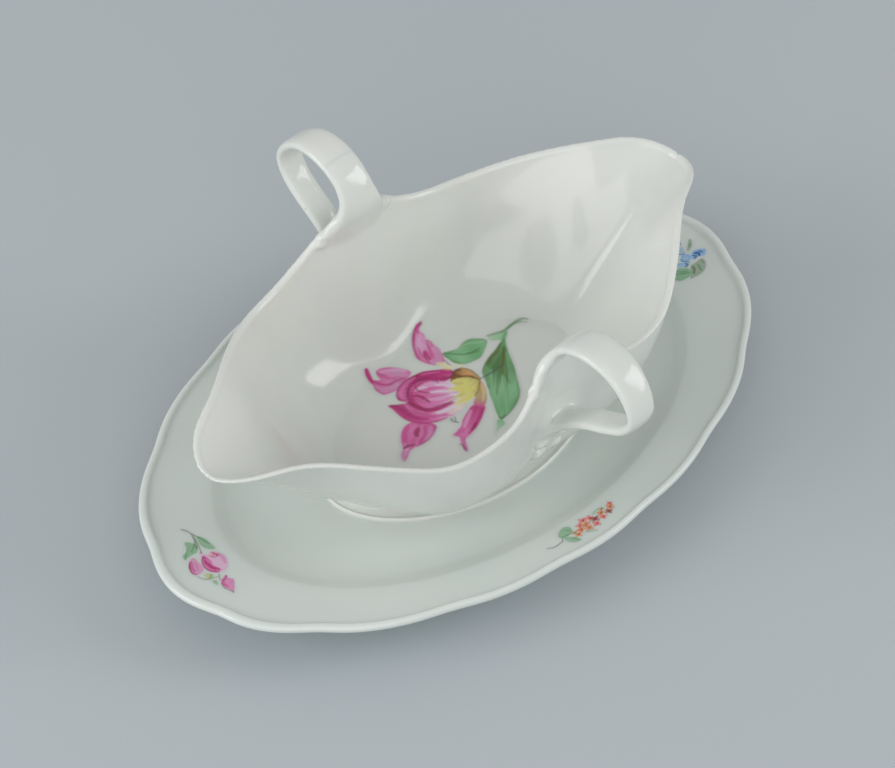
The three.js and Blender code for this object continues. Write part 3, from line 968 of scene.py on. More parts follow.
    # petal below to the right
    art.petal(
        [(3.4, -5.6), (6.3, -8.9), (3.7, -10.9), (-0.2, -12.9), (-3.9, -14.4), (-7.5, -15.3),
         (-10.3, -15.7), (-11.8, -17.9), (-13.6, -20.3), (-14.2, -19.1), (-12.6, -16.1), (-11.1, -13.5),
         (-12.1, -11.3), (-9.1, -10.5), (-6.8, -10), (-4.3, -8.2), (-0.3, -6.5)],
        (4.9, -7.7), (-12.3, -14.9), [(0, "deep"), (0.3, "rose"), (0.6, "pink"), (1, "pink")], 0.28, 9,
        ("rose", 0.6),
    )
    art.strokes(
        (2, "deep", 0.8, (5.4, -9.1), (1, -11.6), (-3.3, -13.4), (-7.5, -14.5)),
        (1.6, "blush", 0.65, (1.3, -6.8), (-2.7, -9), (-6.6, -11.1)),
        (1.4, "rose", 0.75, (2.2, -8.5), (-2.2, -11.1), (-6.1, -12.4)),
        (1.6, "wine", 0.85, (-1.8, -12.3), (-4.1, -13.6), (-5.6, -13.8)),
        (1.5, "rose", 0.6, (-11.4, -11.5), (-8.7, -12), (-6.7, -11.8)),
        (1.3, "pink", 0.8, (-11.2, -14.2), (-12.8, -17.3), (-13.8, -20)),
        (0.8, "ink", 0.75, (-13.2, -15.9), (-12.9, -17), (-13.4, -18.3), (-13.8, -19.9)),
    )
    # cup of the flower
    art.petal(
        [(10.4, 12.7), (6, 16.6), (2.1, 19.2), (-1.5, 20), (-5.7, 20.2), (-10.1, 19.1), (-12.9, 17.2),
         (-14.1, 14.9), (-13.1, 12.7), (-12.6, 11.6), (-15.7, 13.6), (-18.7, 15.3), (-18.7, 13.1),
         (-19, 9.5), (-18.4, 4.9), (-16, 1), (-12.2, -2.1), (-7.4, -3.6), (-3.3, -4.5), (1.5, -3.5),
         (7.8, 4.2), (9.8, 7.6)],
        (6.7, 1.8), (-13, 15.8),
        [(0, "cream"), (0.14, "white"), (0.3, "blush"), (0.5, "pink"), (0.75, "rose"), (1, "deep")], 0.2,
        10, ("rose", 0.6),
    )
    art.petal(
        [(10.3, 12.6), (5.9, 16.5), (2, 19.1), (-1.5, 19.9), (-5.7, 20.1), (-10.1, 19), (-12.8, 17.1),
         (-13.7, 14.6), (-12, 12.3), (-9.3, 14.6), (-6.4, 16.4), (-2.9, 16.5), (0.5, 14.9), (2.7, 11.9),
         (5.7, 9.8), (9.1, 10.1)],
        (9.4, 9.7), (-12.2, 16), [(0, "rose"), (0.25, "deep"), (0.6, "wine"), (0.85, "rose"), (1, "pink")],
        0.3, 10, ("wine", 0.8),
    )
    art.strokes(
        (2.3, "deep", 0.85, (9, 11.9), (5.1, 15.7), (1.3, 17.7), (-2.4, 17.8), (-5.9, 16.7)),
        (1.9, "deep", 0.75, (7.9, 9.5), (4.9, 11.6), (2, 13.8), (-1.6, 15.3), (-4.6, 15.5)),
        (1.8, "pink", 0.7, (-1.8, 19), (-6.3, 18.9), (-10.1, 17.4), (-12.5, 15.3)),
        (0.9, "pink", 0.6, (0.3, 18.6), (3.6, 16.8), (6.5, 14.6)),
        (0.6, "plum", 0.7, (-1.5, 20), (-5.7, 20.2), (-10.1, 19.1), (-12.9, 17.1), (-14, 14.7)),
        (1, "plum", 0.8, (-5.8, 17.5), (-8.9, 15.3), (-11.1, 12.3), (-11.8, 8.6)),
        (1, "plum", 0.55, (-4.5, 16.3), (-2.1, 17.4), (0.5, 16.2)),
    )
    # the inner petals
    art.strokes(
        (3, "blush", 0.85, (-5.6, 13.8), (-1.2, 13.1), (2.4, 10.4), (4.4, 5.9)),
        (3, "pink", 0.7, (-6.6, 11.4), (-1.7, 10), (1.6, 6.9), (3.9, 2.8)),
        (1.5, "white", 0.85, (-3.2, 9.8), (0.5, 7.1), (4, 3.6)),
        (1.3, "white", 0.7, (0.7, 11.2), (3.3, 8.7), (4.8, 5)),
        (1.7, "blush", 0.85, (-7.1, 8.3), (-3.4, 5.6), (0.9, 2.3)),
        (1.2, "white", 0.6, (-6.6, 14), (-4.3, 13.8), (-2.1, 12.2)),
        (1.5, "wine", 0.85, (-9, 12.8), (-7.4, 11.2), (-6.8, 9.3), (-6.7, 6.2)),
        (0.9, "wine", 0.75, (-4.9, 16), (-5.6, 13.8), (-5, 11.7), (-3.3, 9.7)),
        (0.8, "plum", 0.7, (1.1, 12.9), (2.2, 12.7), (2.3, 11)),
        (0.7, "rose", 0.8, (-4.9, 8), (-1.7, 6.2), (1.4, 4.2)),
        (0.6, "rose", 0.7, (-3.6, 11.9), (-0.3, 10.1), (2.5, 7.9)),
        (1.6, "pink", 0.8, (-10.4, 10.7), (-9.5, 7.1), (-6.7, 4.8), (-3, 3.5), (1.6, 2.4)),
        (1.3, "deep", 0.8, (-8, 14.5), (-9.7, 12.6), (-10.7, 9.7), (-10.5, 6.1)),
    )
    # the lower folded petal
    art.strokes(
        (2.3, "wine", 0.9, (-12.1, 11.5), (-11.6, 7.5), (-9.6, 3.8), (-5.6, 2.1), (-0.5, 0.9)),
        (1.6, "deep", 0.8, (-11, 4.2), (-7.6, 1.9), (-4.2, 1), (-0.2, -0.1)),
        (1.9, "white", 0.85, (-9.9, 1.6), (-6.6, -0.2), (-2.6, -1.2), (2.5, -1.9)),
        (1.3, "blush", 0.85, (-10.4, -0.3), (-6.9, -1.8), (-3.1, -3)),
        (1.9, "pink", 0.85, (-13.9, 11.6), (-13.8, 7.1), (-12.1, 3.2), (-8.8, 0.8)),
        (1.9, "deep", 0.85, (-18.5, 15.2), (-17, 12.3), (-16.6, 7.5), (-15.3, 3.7), (-12.7, 0.5)),
        (1.4, "rose", 0.8, (-14.6, 4.4), (-11.6, 1), (-8.3, -1.3), (-5.3, -2.7)),
        (0.9, "deep", 0.75, (-19, 9.5), (-18.4, 5), (-15.9, 1.1), (-12.1, -2), (-7.4, -3.6)),
        (0.9, "plum", 0.7, (-18.5, 15.3), (-17.3, 14.5), (-16.7, 13.2)),
        (0.5, "plum", 0.6, (-16.6, 13.3), (-15.7, 9.8), (-15.7, 5.8)),
        (0.5, "wine", 0.7, (-14.1, 8.2), (-13.1, 4.7), (-10.9, 1.8)),
    )
    # yellow heel of the flower
    art.petal(
        [(6.6, 9), (9.9, 8.3), (12.3, 6.2), (13.4, 3.4), (14.2, 1.6), (10.6, -1), (6.3, -3), (2.7, -2.9),
         (-1.6, -2.8), (-1.4, -0.7), (2.8, 0.4), (0.3, 1.8), (4.4, 2.3), (3.2, 5.3), (5.5, 5.7)],
        (13.7, 1.2), (0, 1.4),
        [(0, "olive"), (0.3, "yellow"), (0.65, "yellow"), (0.9, "cream"), (1, "white")], 0.35, 10,
    )
    art.strokes(
        (2.2, "yellow", 0.8, (10.2, 0.2), (6.7, 1.8), (4.6, 4.8), (2.5, 5.9)),
        (2.2, "yellow", 0.8, (6, -2.7), (2.9, -1.4), (-1.1, -1)),
        (1.5, "olive", 0.6, (5.4, 0.5), (2.6, 1.5), (-1.1, 1.6)),
        (1.4, "cream", 0.7, (0.5, -2.6), (-2.8, -2.8), (-6, -2.2)),
        (1.5, "olive", 0.6, (5.5, 8.3), (7, 6), (8.9, 4.7)),
    )
    art.petal(
        [(8.7, 10.4), (10.9, 11.3), (13.6, 10.8), (15, 8.3), (15.2, 4.8), (14.7, 1.8), (13.2, 3.2),
         (12.1, 6), (10, 7.8), (7.5, 8.4)],
        (14.6, 2.1), (9.5, 10.5), [(0, "tan"), (0.5, "amber"), (1, "umber")], 0.3, 8,
    )
    art.petal(
        [(14, 1.2), (12.8, -2.3), (10.2, -5.9), (7.2, -8.3), (4.8, -9), (4.3, -7), (3.7, -5.7),
         (6.4, -3.6), (9.7, -2)],
        (13.8, 1), (4.5, -8.1), [(0, "amber"), (0.6, "tan"), (1, "rose")], 0.25, 8,
    )
    art.strokes(
        (1.2, "cream", 0.5, (13.1, 0), (10.7, -3.8), (7.3, -6.6)),
        (1.3, "brown", 0.9, (6, 8.6), (7.9, 8.8), (10.4, 7.5), (12.8, 5.4), (14, 2.1)),
        (1.6, "brown", 0.9, (9.2, 10.7), (11.1, 11.1), (13, 10.4)),
        (1.5, "brown", 0.8, (6.8, 9.1), (8.5, 9.8), (9.8, 9.4), (10.7, 8)),
        (0.7, "umber", 0.75, (13.6, 10.8), (15.1, 7.7), (15.1, 4.2), (14.5, 1.6)),
        (1, "umber", 0.85, (14.3, 1.8), (12.1, 0.1), (10.1, -1.5), (7, -2.9)),
        (1.3, "olive", 0.6, (12, 0.1), (9.6, -1), (7.8, -1)),
        (1, "brown", 0.6, (5.1, 11.8), (7.3, 10.2), (9.4, 9.7)),
        (2.3, "cream", 0.85, (8.5, 18.6), (10.1, 16.9), (10.6, 14.8), (11.4, 13)),
        (1.4, "yellow", 0.6, (8.6, 16.7), (9.4, 14.2), (10.4, 12.7)),
        (1.4, "cream", 0.7, (12.7, 13.7), (14.1, 11.9), (14.6, 9.8)),
        (0.6, "plum", 0.7, (12.2, 17.7), (11.7, 16), (11.7, 14.4)),
    )
    # a small insect beside it
    art.stroke([(-6.8, -4.7), (-7.2, -6.2), (-6.7, -7.2), (-6.2, -8.2)], 0.5, "ink", 0.9, 0.4)
    art.strokes(
        (0.4, "ink", 0.75, (-5.1, -4.9), (-5.9, -6), (-6.6, -7)),
        (0.4, "ink", 0.7, (-6.5, -4.5), (-6.8, -5.4)),
    )
    art.soften(2)
    return art


def rose_spray():
    """Rose with two buds and leaves, near the left end of the stand."""
    art = Enamel((-124, -14), (-103, 25), 0.12)
    art.stroke([(-110.2, 22.4), (-109, 20.4), (-108.7, 18.6)], 0.5, "ink", 0.6, 0.3)
    leaf_left = [(-113.2, 16.8), (-111.4, 15.4), (-111, 12.9), (-112.8, 11), (-114.8, 11), (-116.6, 10.8)]
    leaf_left += [(-118.6, 10.4), (-118, 12.2), (-115.8, 13.2), (-114.6, 14.6)]
    art.wash(leaf_left, "leaf", 0.85, 0.3, rays_from=(-110, 17))
    leaf_right = [(-108, 16.8), (-106.4, 14.6), (-106.2, 11.8), (-106.6, 8.8), (-108.6, 9.8)]
    art.wash(leaf_right + [(-109.6, 12.3), (-109.2, 14.6)], "leaf", 0.8, 0.3, rays_from=(-108, 17))
    art.strokes(
        (1.2, "moss", 0.6, (-108.7, 18.8), (-109.4, 16.2), (-111.8, 12.2)),
        (0.7, "vein", 0.6, (-108.6, 18.6), (-107.6, 15.4), (-106.8, 11.5)),
        (0.6, "stem", 0.8, (-109.2, 17.4), (-110.2, 13.4), (-111.7, 10.2)),
        (0.5, "vein", 0.5, (-110.4, 15.2), (-112.2, 13.4), (-114.6, 12.2)),
        (0.5, "vein", 0.45, (-115, 13.4), (-117, 11.8), (-118.2, 10.8)),
        (0.9, "light_leaf", 0.7, (-116, 12.4), (-114.8, 11.8), (-113.6, 11.4)),
        (0.5, "wine", 0.7, (-111.4, 10.4), (-111.9, 9.8), (-112.3, 10.3)),
    )
    rose = [(-112, 9.6), (-110.6, 8.2), (-108.7, 8.6), (-107, 7), (-106.6, 4.1), (-107.6, 0.9)]
    rose += [(-110.2, -1.1), (-113.1, -0.9), (-115.5, 1.2), (-115.5, 4.4), (-114.4, 7.3)]
    art.wash(rose, "pale", 0.9, 0.35)
    art.stroke([(-108.4, 7.8), (-107.2, 4.6), (-108.4, 1.2)], 2.2, "lilac", 0.8)
    shade = [(-112.2, 8.6), (-111.6, 5.4), (-112.4, 3), (-111.6, 0), (-113.4, -0.6), (-115.2, 1.6), (-115, 5)]
    art.wash(shade, "rose", 0.8, 0.5)
    art.strokes(
        (1.3, "magenta", 0.9, (-112.4, 7.6), (-113.6, 5.4), (-114, 3), (-113.4, 0.6)),
        (1.2, "magenta", 0.85, (-113.2, 4.8), (-113.2, 2.6), (-112, 0)),
        (0.5, "wine", 0.75, (-112.4, 8.4), (-114.7, 6), (-115.5, 3.4), (-114.8, 1), (-113, -0.7)),
        (0.7, "pink", 0.8, (-113, 7), (-112.5, 5.6), (-112.7, 4.6)),
        (0.5, "pink", 0.8, (-114.4, 4.4), (-114.4, 2.4), (-113.8, 1)),
        (0.8, "coral", 0.7, (-110.8, 7.4), (-109.4, 6.6), (-108, 7.4)),
        (0.4, "wine", 0.7, (-110.4, 6.4), (-109, 5.6), (-107.6, 6.4)),
        (0.6, "wine", 0.6, (-109, 8.4), (-108.2, 6.2), (-107.4, 5.4)),
    )
    bud = [(-117.3, 9.4), (-115.5, 9.4), (-115.4, 7.2), (-115.6, 5.3), (-116.3, 3.3), (-118.6, 2.4)]
    art.wash(bud + [(-120.5, 2.7), (-120.8, 4.6), (-119.5, 7.3)], "lilac", 0.9, 0.35)
    art.strokes(
        (1.8, "rose", 0.75, (-117.4, 8.6), (-119, 6.6), (-119.6, 4.2)),
        (0.6, "wine", 0.75, (-118, 8.6), (-119.9, 6.4), (-120.6, 4.1), (-119.8, 2.8)),
        (0.9, "pink", 0.8, (-116.8, 7.6), (-117.4, 5.6), (-118.4, 4)),
    )
    lower_bud = [(-112, -3.3), (-114.3, -3.8), (-116, -5.2), (-116.6, -7.7), (-116, -9.6), (-115.9, -11.6)]
    art.wash(lower_bud + [(-113.1, -8.8), (-111.5, -6.3), (-112.4, -5)], "pink", 0.88, 0.3)
    art.strokes(
        (1.2, "rose", 0.8, (-114.4, -4.2), (-115.6, -6.2), (-115.4, -8.6)),
        (0.6, "wine", 0.7, (-112.2, -3.4), (-113.6, -4.6), (-114.8, -5)),
    )
    art.stroke([(-116, -5.4), (-116.7, -7.8), (-116.1, -10), (-115.8, -11.8)], 0.5, "ink", 0.6, 0.3)
    art.wash([(-117.2, 1.5), (-115.4, -0.4), (-116.4, -1.8), (-118.4, -1.2), (-118.3, 0.2)],
             "olive", 0.7, 0.35)
    art.strokes(
        (0.8, "leaf", 0.7, (-116, 0.2), (-116.6, -0.8), (-117.8, -1.2)),
        (0.4, "stem", 0.7, (-120.2, 2.2), (-119.9, 0.6), (-118.4, -1.2), (-116.1, -1.9), (-114.2, -2.3)),
        (0.5, "stem", 0.7, (-113.6, -1.4), (-114.6, -2.8), (-115.4, -4.2)),
    )
    art.wash([(-117.4, -2.6), (-116.6, -3.2), (-116.8, -4.6), (-117.6, -5.2), (-118, -3.6)],
             "leaf", 0.65, 0.3)
    return art


def floret(art, place, size, pigment, dark):
    """A few dabs round a small centre."""
    for k in range(4):
        angle = k * np.pi / 2 + place[0]
        tip = (place[0] + size * np.cos(angle), place[1] + size * np.sin(angle))
        art.stroke([place, tip], size * 1.05, pigment, 0.85)
    start = (place[0] - size * 0.3, place[1] - size * 0.4)
    end = (place[0] + size * 0.4, place[1] + size * 0.1)
    art.stroke([start, end], size * 0.32, dark, 0.8)


def orange_sprig():
    """Sprig of small orange-red florets, near the front of the stand."""
    art = Enamel((-28, -81), (7, -64), 0.12)
    art.stroke([(-26, -71.6), (-24.3, -72.9), (-22, -73.1), (-19.8, -72.8),
    (-18.4, -71.2)], 0.45, "ink", 0.65, 0.3)
    leaf = [(-17.6, -68.7), (-14.2, -67.8), (-12.8, -69.4), (-13.4, -71.2), (-15.4, -72.4), (-17.8, -72.5)]
    art.wash(leaf + [(-19.2, -70.6)], "leaf", 0.8, 0.4, rays_from=(-14, -73))
    art.wash([(-18.3, -72), (-16.5, -73.4), (-15.3, -75.7), (-15.6, -77.6), (-17.4, -77.2), (-18.9, -74.8)],
             "leaf", 0.7, 0.4)
    art.strokes(
        (0.5, "vein", 0.6, (-18.4, -71.4), (-16, -72), (-13.6, -72.6)),
        (0.5, "vein", 0.5, (-15, -69), (-14.4, -71), (-13.8, -72.6)),
        (0.45, "vein", 0.5, (-17.2, -73.6), (-16.4, -75.6), (-16.2, -77.2)),
        (1, "stem", 0.6, (-11.6, -75.8), (-10, -76.8), (-8.6, -78.4)),
        (1, "light_leaf", 0.7, (-3.4, -71.4), (-1.6, -70.8), (0.8, -70.6)),
        (0.7, "rust", 0.55, (-14.4, -73.2), (-11, -73.4), (-7.6, -73), (-3, -73.2), (2, -73.4)),
    )
    for place, size, pigment, dark in (
        ((-7.6, -70.6), 1.5, "coral", "rust"),
        ((-5.2, -71.6), 1.4, "coral", "rust"),
        ((-10.2, -71.8), 1.4, "coral", "umber"),
        ((-11.6, -73.7), 1.5, "orange", "rust"),
        ((-14, -74.7), 1.3, "orange", "rust"),
        ((-14.2, -73), 1.0, "tan", "umber"),
        ((-9.1, -75.2), 1.5, "orange", "umber"),
        ((-8.4, -73), 1.4, "orange", "umber"),
        ((-6, -75.7), 1.5, "coral", "magenta"),
        ((-4.4, -73.6), 1.4, "rust", "wine"),
        ((-1.9, -74.9), 1.4, "coral", "magenta"),
        ((-0.8, -72.8), 1.3, "orange", "rust"),
        ((1.4, -74.6), 1.3, "rust", "umber"),
        ((3.4, -73.2), 1.4, "orange", "rust"),
        ((4.6, -71.8), 1.0, "coral", "rust"),
        ((0.8, -71.6), 1.0, "tan", "umber"),
    ):
        floret(art, place, size, pigment, dark)
    return art


def blue_spray():
    """Small blue flowers over green leaves, near the right end of the stand."""
    art = Enamel((102, -20), (126, 5), 0.12)
    leaf = [(105.4, -7.8), (107.5, -7.4), (110.2, -9.4), (111.8, -11.8), (110.9, -14.1), (108.5, -14.6)]
    art.wash(leaf + [(105.5, -13.5), (104.6, -11.1)], "leaf", 0.88, 0.35, rays_from=(105, -8))
    art.strokes(
        (0.6, "vein", 0.6, (105.6, -8.6), (107.8, -11), (110.6, -13.4)),
        (0.6, "vein", 0.5, (107.6, -9), (109.2, -11), (110.8, -12.4)),
    )
    second = [(113.1, -11.4), (115.5, -11.8), (118.5, -12.3), (117.8, -14.9), (115, -16.9), (112.8, -17.2)]
    art.wash(second + [(110, -16.5), (108.6, -15.6), (111, -13.6)], "stem", 0.8, 0.35, rays_from=(112, -12))
    art.strokes(
        (1.2, "moss", 0.7, (113.6, -12.2), (112.6, -13.8), (111, -15)),
        (0.7, "vein", 0.6, (115.4, -13), (114.4, -15), (113.8, -16.4)),
        (0.6, "vein", 0.5, (117.6, -13), (117.2, -14.6)),
        (2, "stem", 0.7, (122.6, -2.4), (120.6, -4.2), (118.2, -5.4)),
        (0.8, "vein", 0.5, (121.2, -3.6), (119.6, -4.8)),
        (1, "haze", 0.9, (120, 2), (119.2, 0), (118.4, -1.8)),
        (0.5, "ink", 0.5, (119.6, 1), (118.6, -1.4)),
    )
    art.wash([(116.3, -0.6), (118, -2.4), (116.3, -5), (114.2, -4), (114.2, -1.7)], "haze", 0.85, 0.4)
    art.wash([(115.3, -5.1), (117.2, -7.3), (116.1, -9), (114.2, -9.1), (113.1, -7)], "sky", 0.9, 0.35)
    art.wash([(118.8, -7.2), (120.8, -7.9), (122.6, -10.3), (120.4, -11.9), (118, -10.4), (116, -9.6)],
             "sky", 0.9, 0.35)
    art.strokes(
        (1.5, "navy", 0.9, (118.6, -8.2), (119.6, -9.4), (119, -10.6)),
        (0.9, "navy", 0.7, (120.6, -8.8), (121, -10.4)),
        (1, "navy", 0.8, (117.4, -8.4), (118, -9.8), (116.6, -10.2)),
    )
    art.wash([(110.7, -5.6), (112.2, -8), (114.5, -9.8), (112.4, -10.7), (110.3, -9.2), (109.3, -7.2)],
             "haze", 0.85, 0.4)
    art.strokes(
        (1, "sky", 0.85, (111, -7.2), (112.6, -8.8), (113.6, -10)),
        (0.9, "navy", 0.75, (113, -9), (112.8, -10.2), (111.6, -10.2)),
    )
    art.wash([(113.2, -1.9), (113.7, -3.7), (111.6, -5.8), (109.6, -5)], "haze", 0.8, 0.4)
    art.strokes(
        (0.4, "navy", 0.8, (113.4, -6.2), (113, -7.6), (114.4, -9.4)),
        (0.4, "navy", 0.7, (114.6, -3.8), (115.6, -5.2), (117, -5)),
        (0.4, "navy", 0.6, (111.6, -5.2), (112.4, -4), (113.4, -3.6)),
        (0.7, "yellow", 0.6, (114.6, -7), (115.4, -7.8)),
    )
    return art


def violet_spray():
    """Small violet flowers on the far side of the stand, behind the bowl."""
    art = Enamel((2, 60), (32, 80), 0.12)
    art.stroke([(8, 73.4), (11, 71.6), (14, 70.4), (19, 69.6)], 0.5, "vein", 0.7)
    art.wash([(10.6, 71.4), (12, 68.4), (15, 67.4), (14.4, 70)], "leaf", 0.85, 0.35, rays_from=(14, 70))
    art.wash([(14.6, 70.8), (16, 73.4), (19.4, 73.6), (18, 70.8)],
             "leaf", 0.85, 0.35, rays_from=(14.6, 70.6))
    for place, size in (((20, 69), 2.0), ((23.2, 67.2), 1.8), ((22.4, 70.6), 1.7), ((26, 68.6), 1.3)):
        floret(art, place, size, "lilac", "violet")
        floret(art, place, size * 0.55, "violet", "yellow")
    return art


def surface_of(obj):
    """Ray target of a mesh in metres, and the mesh, for its smooth normals."""
    mesh = obj.data
    corners = [v.co.copy() for v in mesh.vertices]
    return BVHTree.FromPolygons(corners, [tuple(p.vertices) for p in mesh.polygons]), mesh


def enamel_piece(name, art, ground, level, lean):
    """Thin closed shell of fired enamel that follows the glaze under it.

    The picture lies flat at the given level, and is laid on the glaze along the direction lean.
    """
    tree, mesh = ground
    reach = art.cover > ENAMEL_EDGE
    for _ in range(2):
        grown = reach.copy()
        grown[1:] |= reach[:-1]
        grown[:-1] |= reach[1:]
        grown[:, 1:] |= reach[:, :-1]
        grown[:, :-1] |= reach[:, 1:]
        reach = grown
    places, normals, colours = [], [], []
    number = -np.ones(reach.shape, int)
    for i, j in zip(*np.nonzero(reach)):
        start = Vector((art.x[i, j] * MM, art.y[i, j] * MM, level * MM)) + lean * CAST_FROM * MM
        hit, _, face, _ = tree.ray_cast(start, -lean)
        if hit is None:
            continue
        polygon = mesh.polygons[face]
        weights = []
        for index in polygon.vertices:
            weights.append(1 / ((mesh.vertices[index].co - hit).length + 1e-6))
        normal = Vector((0, 0, 0))
        for index, weight in zip(polygon.vertices, weights):
            normal += mesh.vertices[index].normal * weight
        normal.normalize()
        number[i, j] = len(places)
        places.append(hit + normal * MM * (ENAMEL_FILM + ENAMEL_BODY * art.cover[i, j]))
        normals.append(normal)
        colours.append(art.colour[i, j])
    faces, used = grid_shell(number)
    count = len(used)
    upper = [places[k] for k in used]
    lower = [places[k] - normals[k] * MM * ENAMEL_ROOT for k in used]
    shell = bpy.data.meshes.new(name)
    shell.from_pydata([tuple(p) for p in upper + lower], [], faces)
    shell.shade_smooth()
    tops = [tuple(normals[k]) for k in used]
    shell.normals_split_custom_set_from_vertices(tops + [(-x, -y, -z) for x, y, z in tops])
    paint = shell.color_attributes.new("paint", "FLOAT_COLOR", "POINT")
    rgba = np.ones((2 * count, 4), np.float32)
    rgba[:count, :3] = np.array([colours[k] for k in used])
    rgba[count:, :3] = rgba[:count, :3]
    paint.data.foreach_set("color", rgba.ravel())
    obj = bpy.data.objects.new(name, shell)
    bpy.context.scene.collection.objects.link(obj)
    return obj


# ---------------------------------------------------------------- materials


def node_material(name):
    material = bpy.data.materials.new(name)
    material.use_nodes = True
    tree = material.node_tree
    return material, tree, tree.nodes["Principled BSDF"]


def add_node(tree, kind, inputs=None, **settings):
    node = tree.nodes.new(kind)
    for key, value in settings.items():
        setattr(node, key, value)
    for key, value in (inputs or {}).items():
        if isinstance(value, bpy.types.NodeSocket):
            tree.links.new(value, node.inputs[key])
        else:
            node.inputs[key].default_value = value
    return node


def ramp(tree, value, given, wanted=(0, 1)):
    """A value carried from one range to another."""
    ends = dict(zip(("From Min", "From Max", "To Min", "To Max"), (*given, *wanted)))
    return add_node(tree, "ShaderNodeMapRange", {"Value": value, **ends})


def bump(tree, height, distance, strength):
    return add_node(tree, "ShaderNodeBump", {"Height": height, "Distance": distance, "Strength": strength})


def rgba(colour):
    return (*colour, 1.0)


def glaze(name, tint, pooled, painted=False):
    """Clear glaze over white porcelain: tint is its usual colour, pooled its colour where it is thicker. The
    stand's tints are made darker than the bowl's, as painted shade.
    """
    material, tree, shader = node_material(name)
    place = add_node(tree, "ShaderNodeTexCoord").outputs["Object"]
    cloud = add_node(tree, "ShaderNodeTexNoise", {"Vector": place, "Scale": 16.0, "Detail": 3.0})
    thick = ramp(tree, cloud.outputs["Fac"], (0.35, 0.7))
    body = add_node(tree, "ShaderNodeMix", {"Factor": thick.outputs["Result"]}, data_type="RGBA")
    body.inputs["A"].default_value = rgba(tint)
    body.inputs["B"].default_value = rgba(pooled)
    # a few pinholes and iron specks under the glaze
    cells = add_node(tree, "ShaderNodeTexVoronoi", {"Vector": place, "Scale": 55.0, "Randomness": 1.0})
    rare = add_node(tree, "ShaderNodeMath", {0: cells.outputs["Color"], 1: 0.86}, operation="GREATER_THAN")
    dot = ramp(tree, cells.outputs["Distance"], (0.012, 0.03), (0.35, 0.0))
    both = {0: rare.outputs[0], 1: dot.outputs["Result"]}
    speck = add_node(tree, "ShaderNodeMath", both, operation="MULTIPLY")
    specked = add_node(tree, "ShaderNodeMix", {"Factor": speck.outputs[0], "A": body.outputs["Result"]},
                       data_type="RGBA")
    specked.inputs["B"].default_value = (0.30, 0.27, 0.22, 1)
    colour = specked.outputs["Result"]
    if painted:
        paint = add_node(tree, "ShaderNodeAttribute", attribute_name="paint")
        over = add_node(tree, "ShaderNodeMix", {"Factor": 1.0, "A": colour, "B": paint.outputs["Color"]},
                        data_type="RGBA", blend_type="MULTIPLY")
        colour = over.outputs["Result"]
    tree.links.new(colour, shader.inputs["Base Color"])
    # slow waves of hand-finished clay, and the fine orange peel of the glaze
    waves = add_node(tree, "ShaderNodeTexNoise", {"Vector": place, "Scale": 22.0, "Detail": 2.0})
    slow = bump(tree, waves.outputs["Fac"], 0.0011, 0.55)
    peel = add_node(tree, "ShaderNodeTexNoise", {"Vector": place, "Scale": 340.0, "Detail": 2.0})
    fine = bump(tree, peel.outputs["Fac"], 0.00006, 0.35)
    tree.links.new(slow.outputs["Normal"], fine.inputs["Normal"])
    tree.links.new(fine.outputs["Normal"], shader.inputs["Normal"])
    gloss = ramp(tree, cloud.outputs["Fac"], (0.3, 0.7), (0.10, 0.17))
    tree.links.new(gloss.outputs["Result"], shader.inputs["Roughness"])
    shader.inputs["Subsurface Weight"].default_value = 0.18
    shader.inputs["Subsurface Radius"].default_value = (0.0035, 0.003, 0.0026)
    shader.inputs["Subsurface Scale"].default_value = 1.0
    shader.inputs["IOR"].default_value = 1.5
    return material


BOWL_TINT = (0.696, 0.715, 0.683)
BOWL_POOLED = (0.666, 0.70, 0.663)
# The stand has the same glaze as the bowl. Its tints are a little darker and greener, which is painted shade
# for the dimmer light on the stand.
STAND_SHADED_TINT = (0.665, 0.709, 0.679)
STAND_SHADED_POOLED = (0.634, 0.691, 0.662)
bowl_glaze = glaze("bowl_glaze", BOWL_TINT, BOWL_POOLED)
stand_glaze = glaze("stand_glaze", STAND_SHADED_TINT, STAND_SHADED_POOLED)
bowl_enamel = glaze("bowl_enamel", BOWL_TINT, BOWL_POOLED, painted=True)
stand_shaded_enamel = glaze("stand_shaded_enamel", STAND_SHADED_TINT, STAND_SHADED_POOLED, painted=True)


def bare_porcelain():
    """Unglazed biscuit of the foot ring, ground flat and a little soiled."""
    material, tree, shader = node_material("bare_foot")
    place = add_node(tree, "ShaderNodeTexCoord").outputs["Object"]
    grain = add_node(tree, "ShaderNodeTexNoise", {"Vector": place, "Scale": 900.0, "Detail": 4.0})
    soil = add_node(tree, "ShaderNodeTexNoise", {"Vector": place, "Scale": 45.0, "Detail": 5.0})
    shade = ramp(tree, soil.outputs["Fac"], (0.45, 0.75))
    body = add_node(tree, "ShaderNodeMix", {"Factor": shade.outputs["Result"]}, data_type="RGBA")
    body.inputs["A"].default_value = (0.70, 0.68, 0.62, 1)
    body.inputs["B"].default_value = (0.50, 0.46, 0.39, 1)
    rough = bump(tree, grain.outputs["Fac"], 0.0001, 0.6)
    tree.links.new(body.outputs["Result"], shader.inputs["Base Color"])
    tree.links.new(rough.outputs["Normal"], shader.inputs["Normal"])
    shader.inputs["Roughness"].default_value = 0.75
    return material


# ---------------------------------------------------------------- pieces


def settle(obj, material, slot, *nodes):
    """Gives a finished piece its material and its place in the part."""
    obj.data.materials.clear()
    obj.data.materials.append(material)
    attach(obj, "root")
    if nodes:
        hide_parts(*nodes)


bowl_ground = surface_of(bowl)
stand_ground = surface_of(stand)
UPRIGHT = Vector((0, 0, 1))
SIDEWAYS = Vector((-0.48, -0.49, 0.73)).normalized()
flower = enamel_piece("bowl_flower", bowl_flower(), bowl_ground, BOWL_FLOOR, SIDEWAYS)
settle(flower, bowl_enamel, "bowl_glaze")
for name, art in (
    ("rose_spray", rose_spray()),
    ("orange_sprig", orange_sprig()),
    ("blue_spray", blue_spray()),
    ("violet_spray", violet_spray()),
):
    settle(enamel_piece(name, art, stand_ground, STAND_TOP, UPRIGHT), stand_shaded_enamel, "stand_glaze")

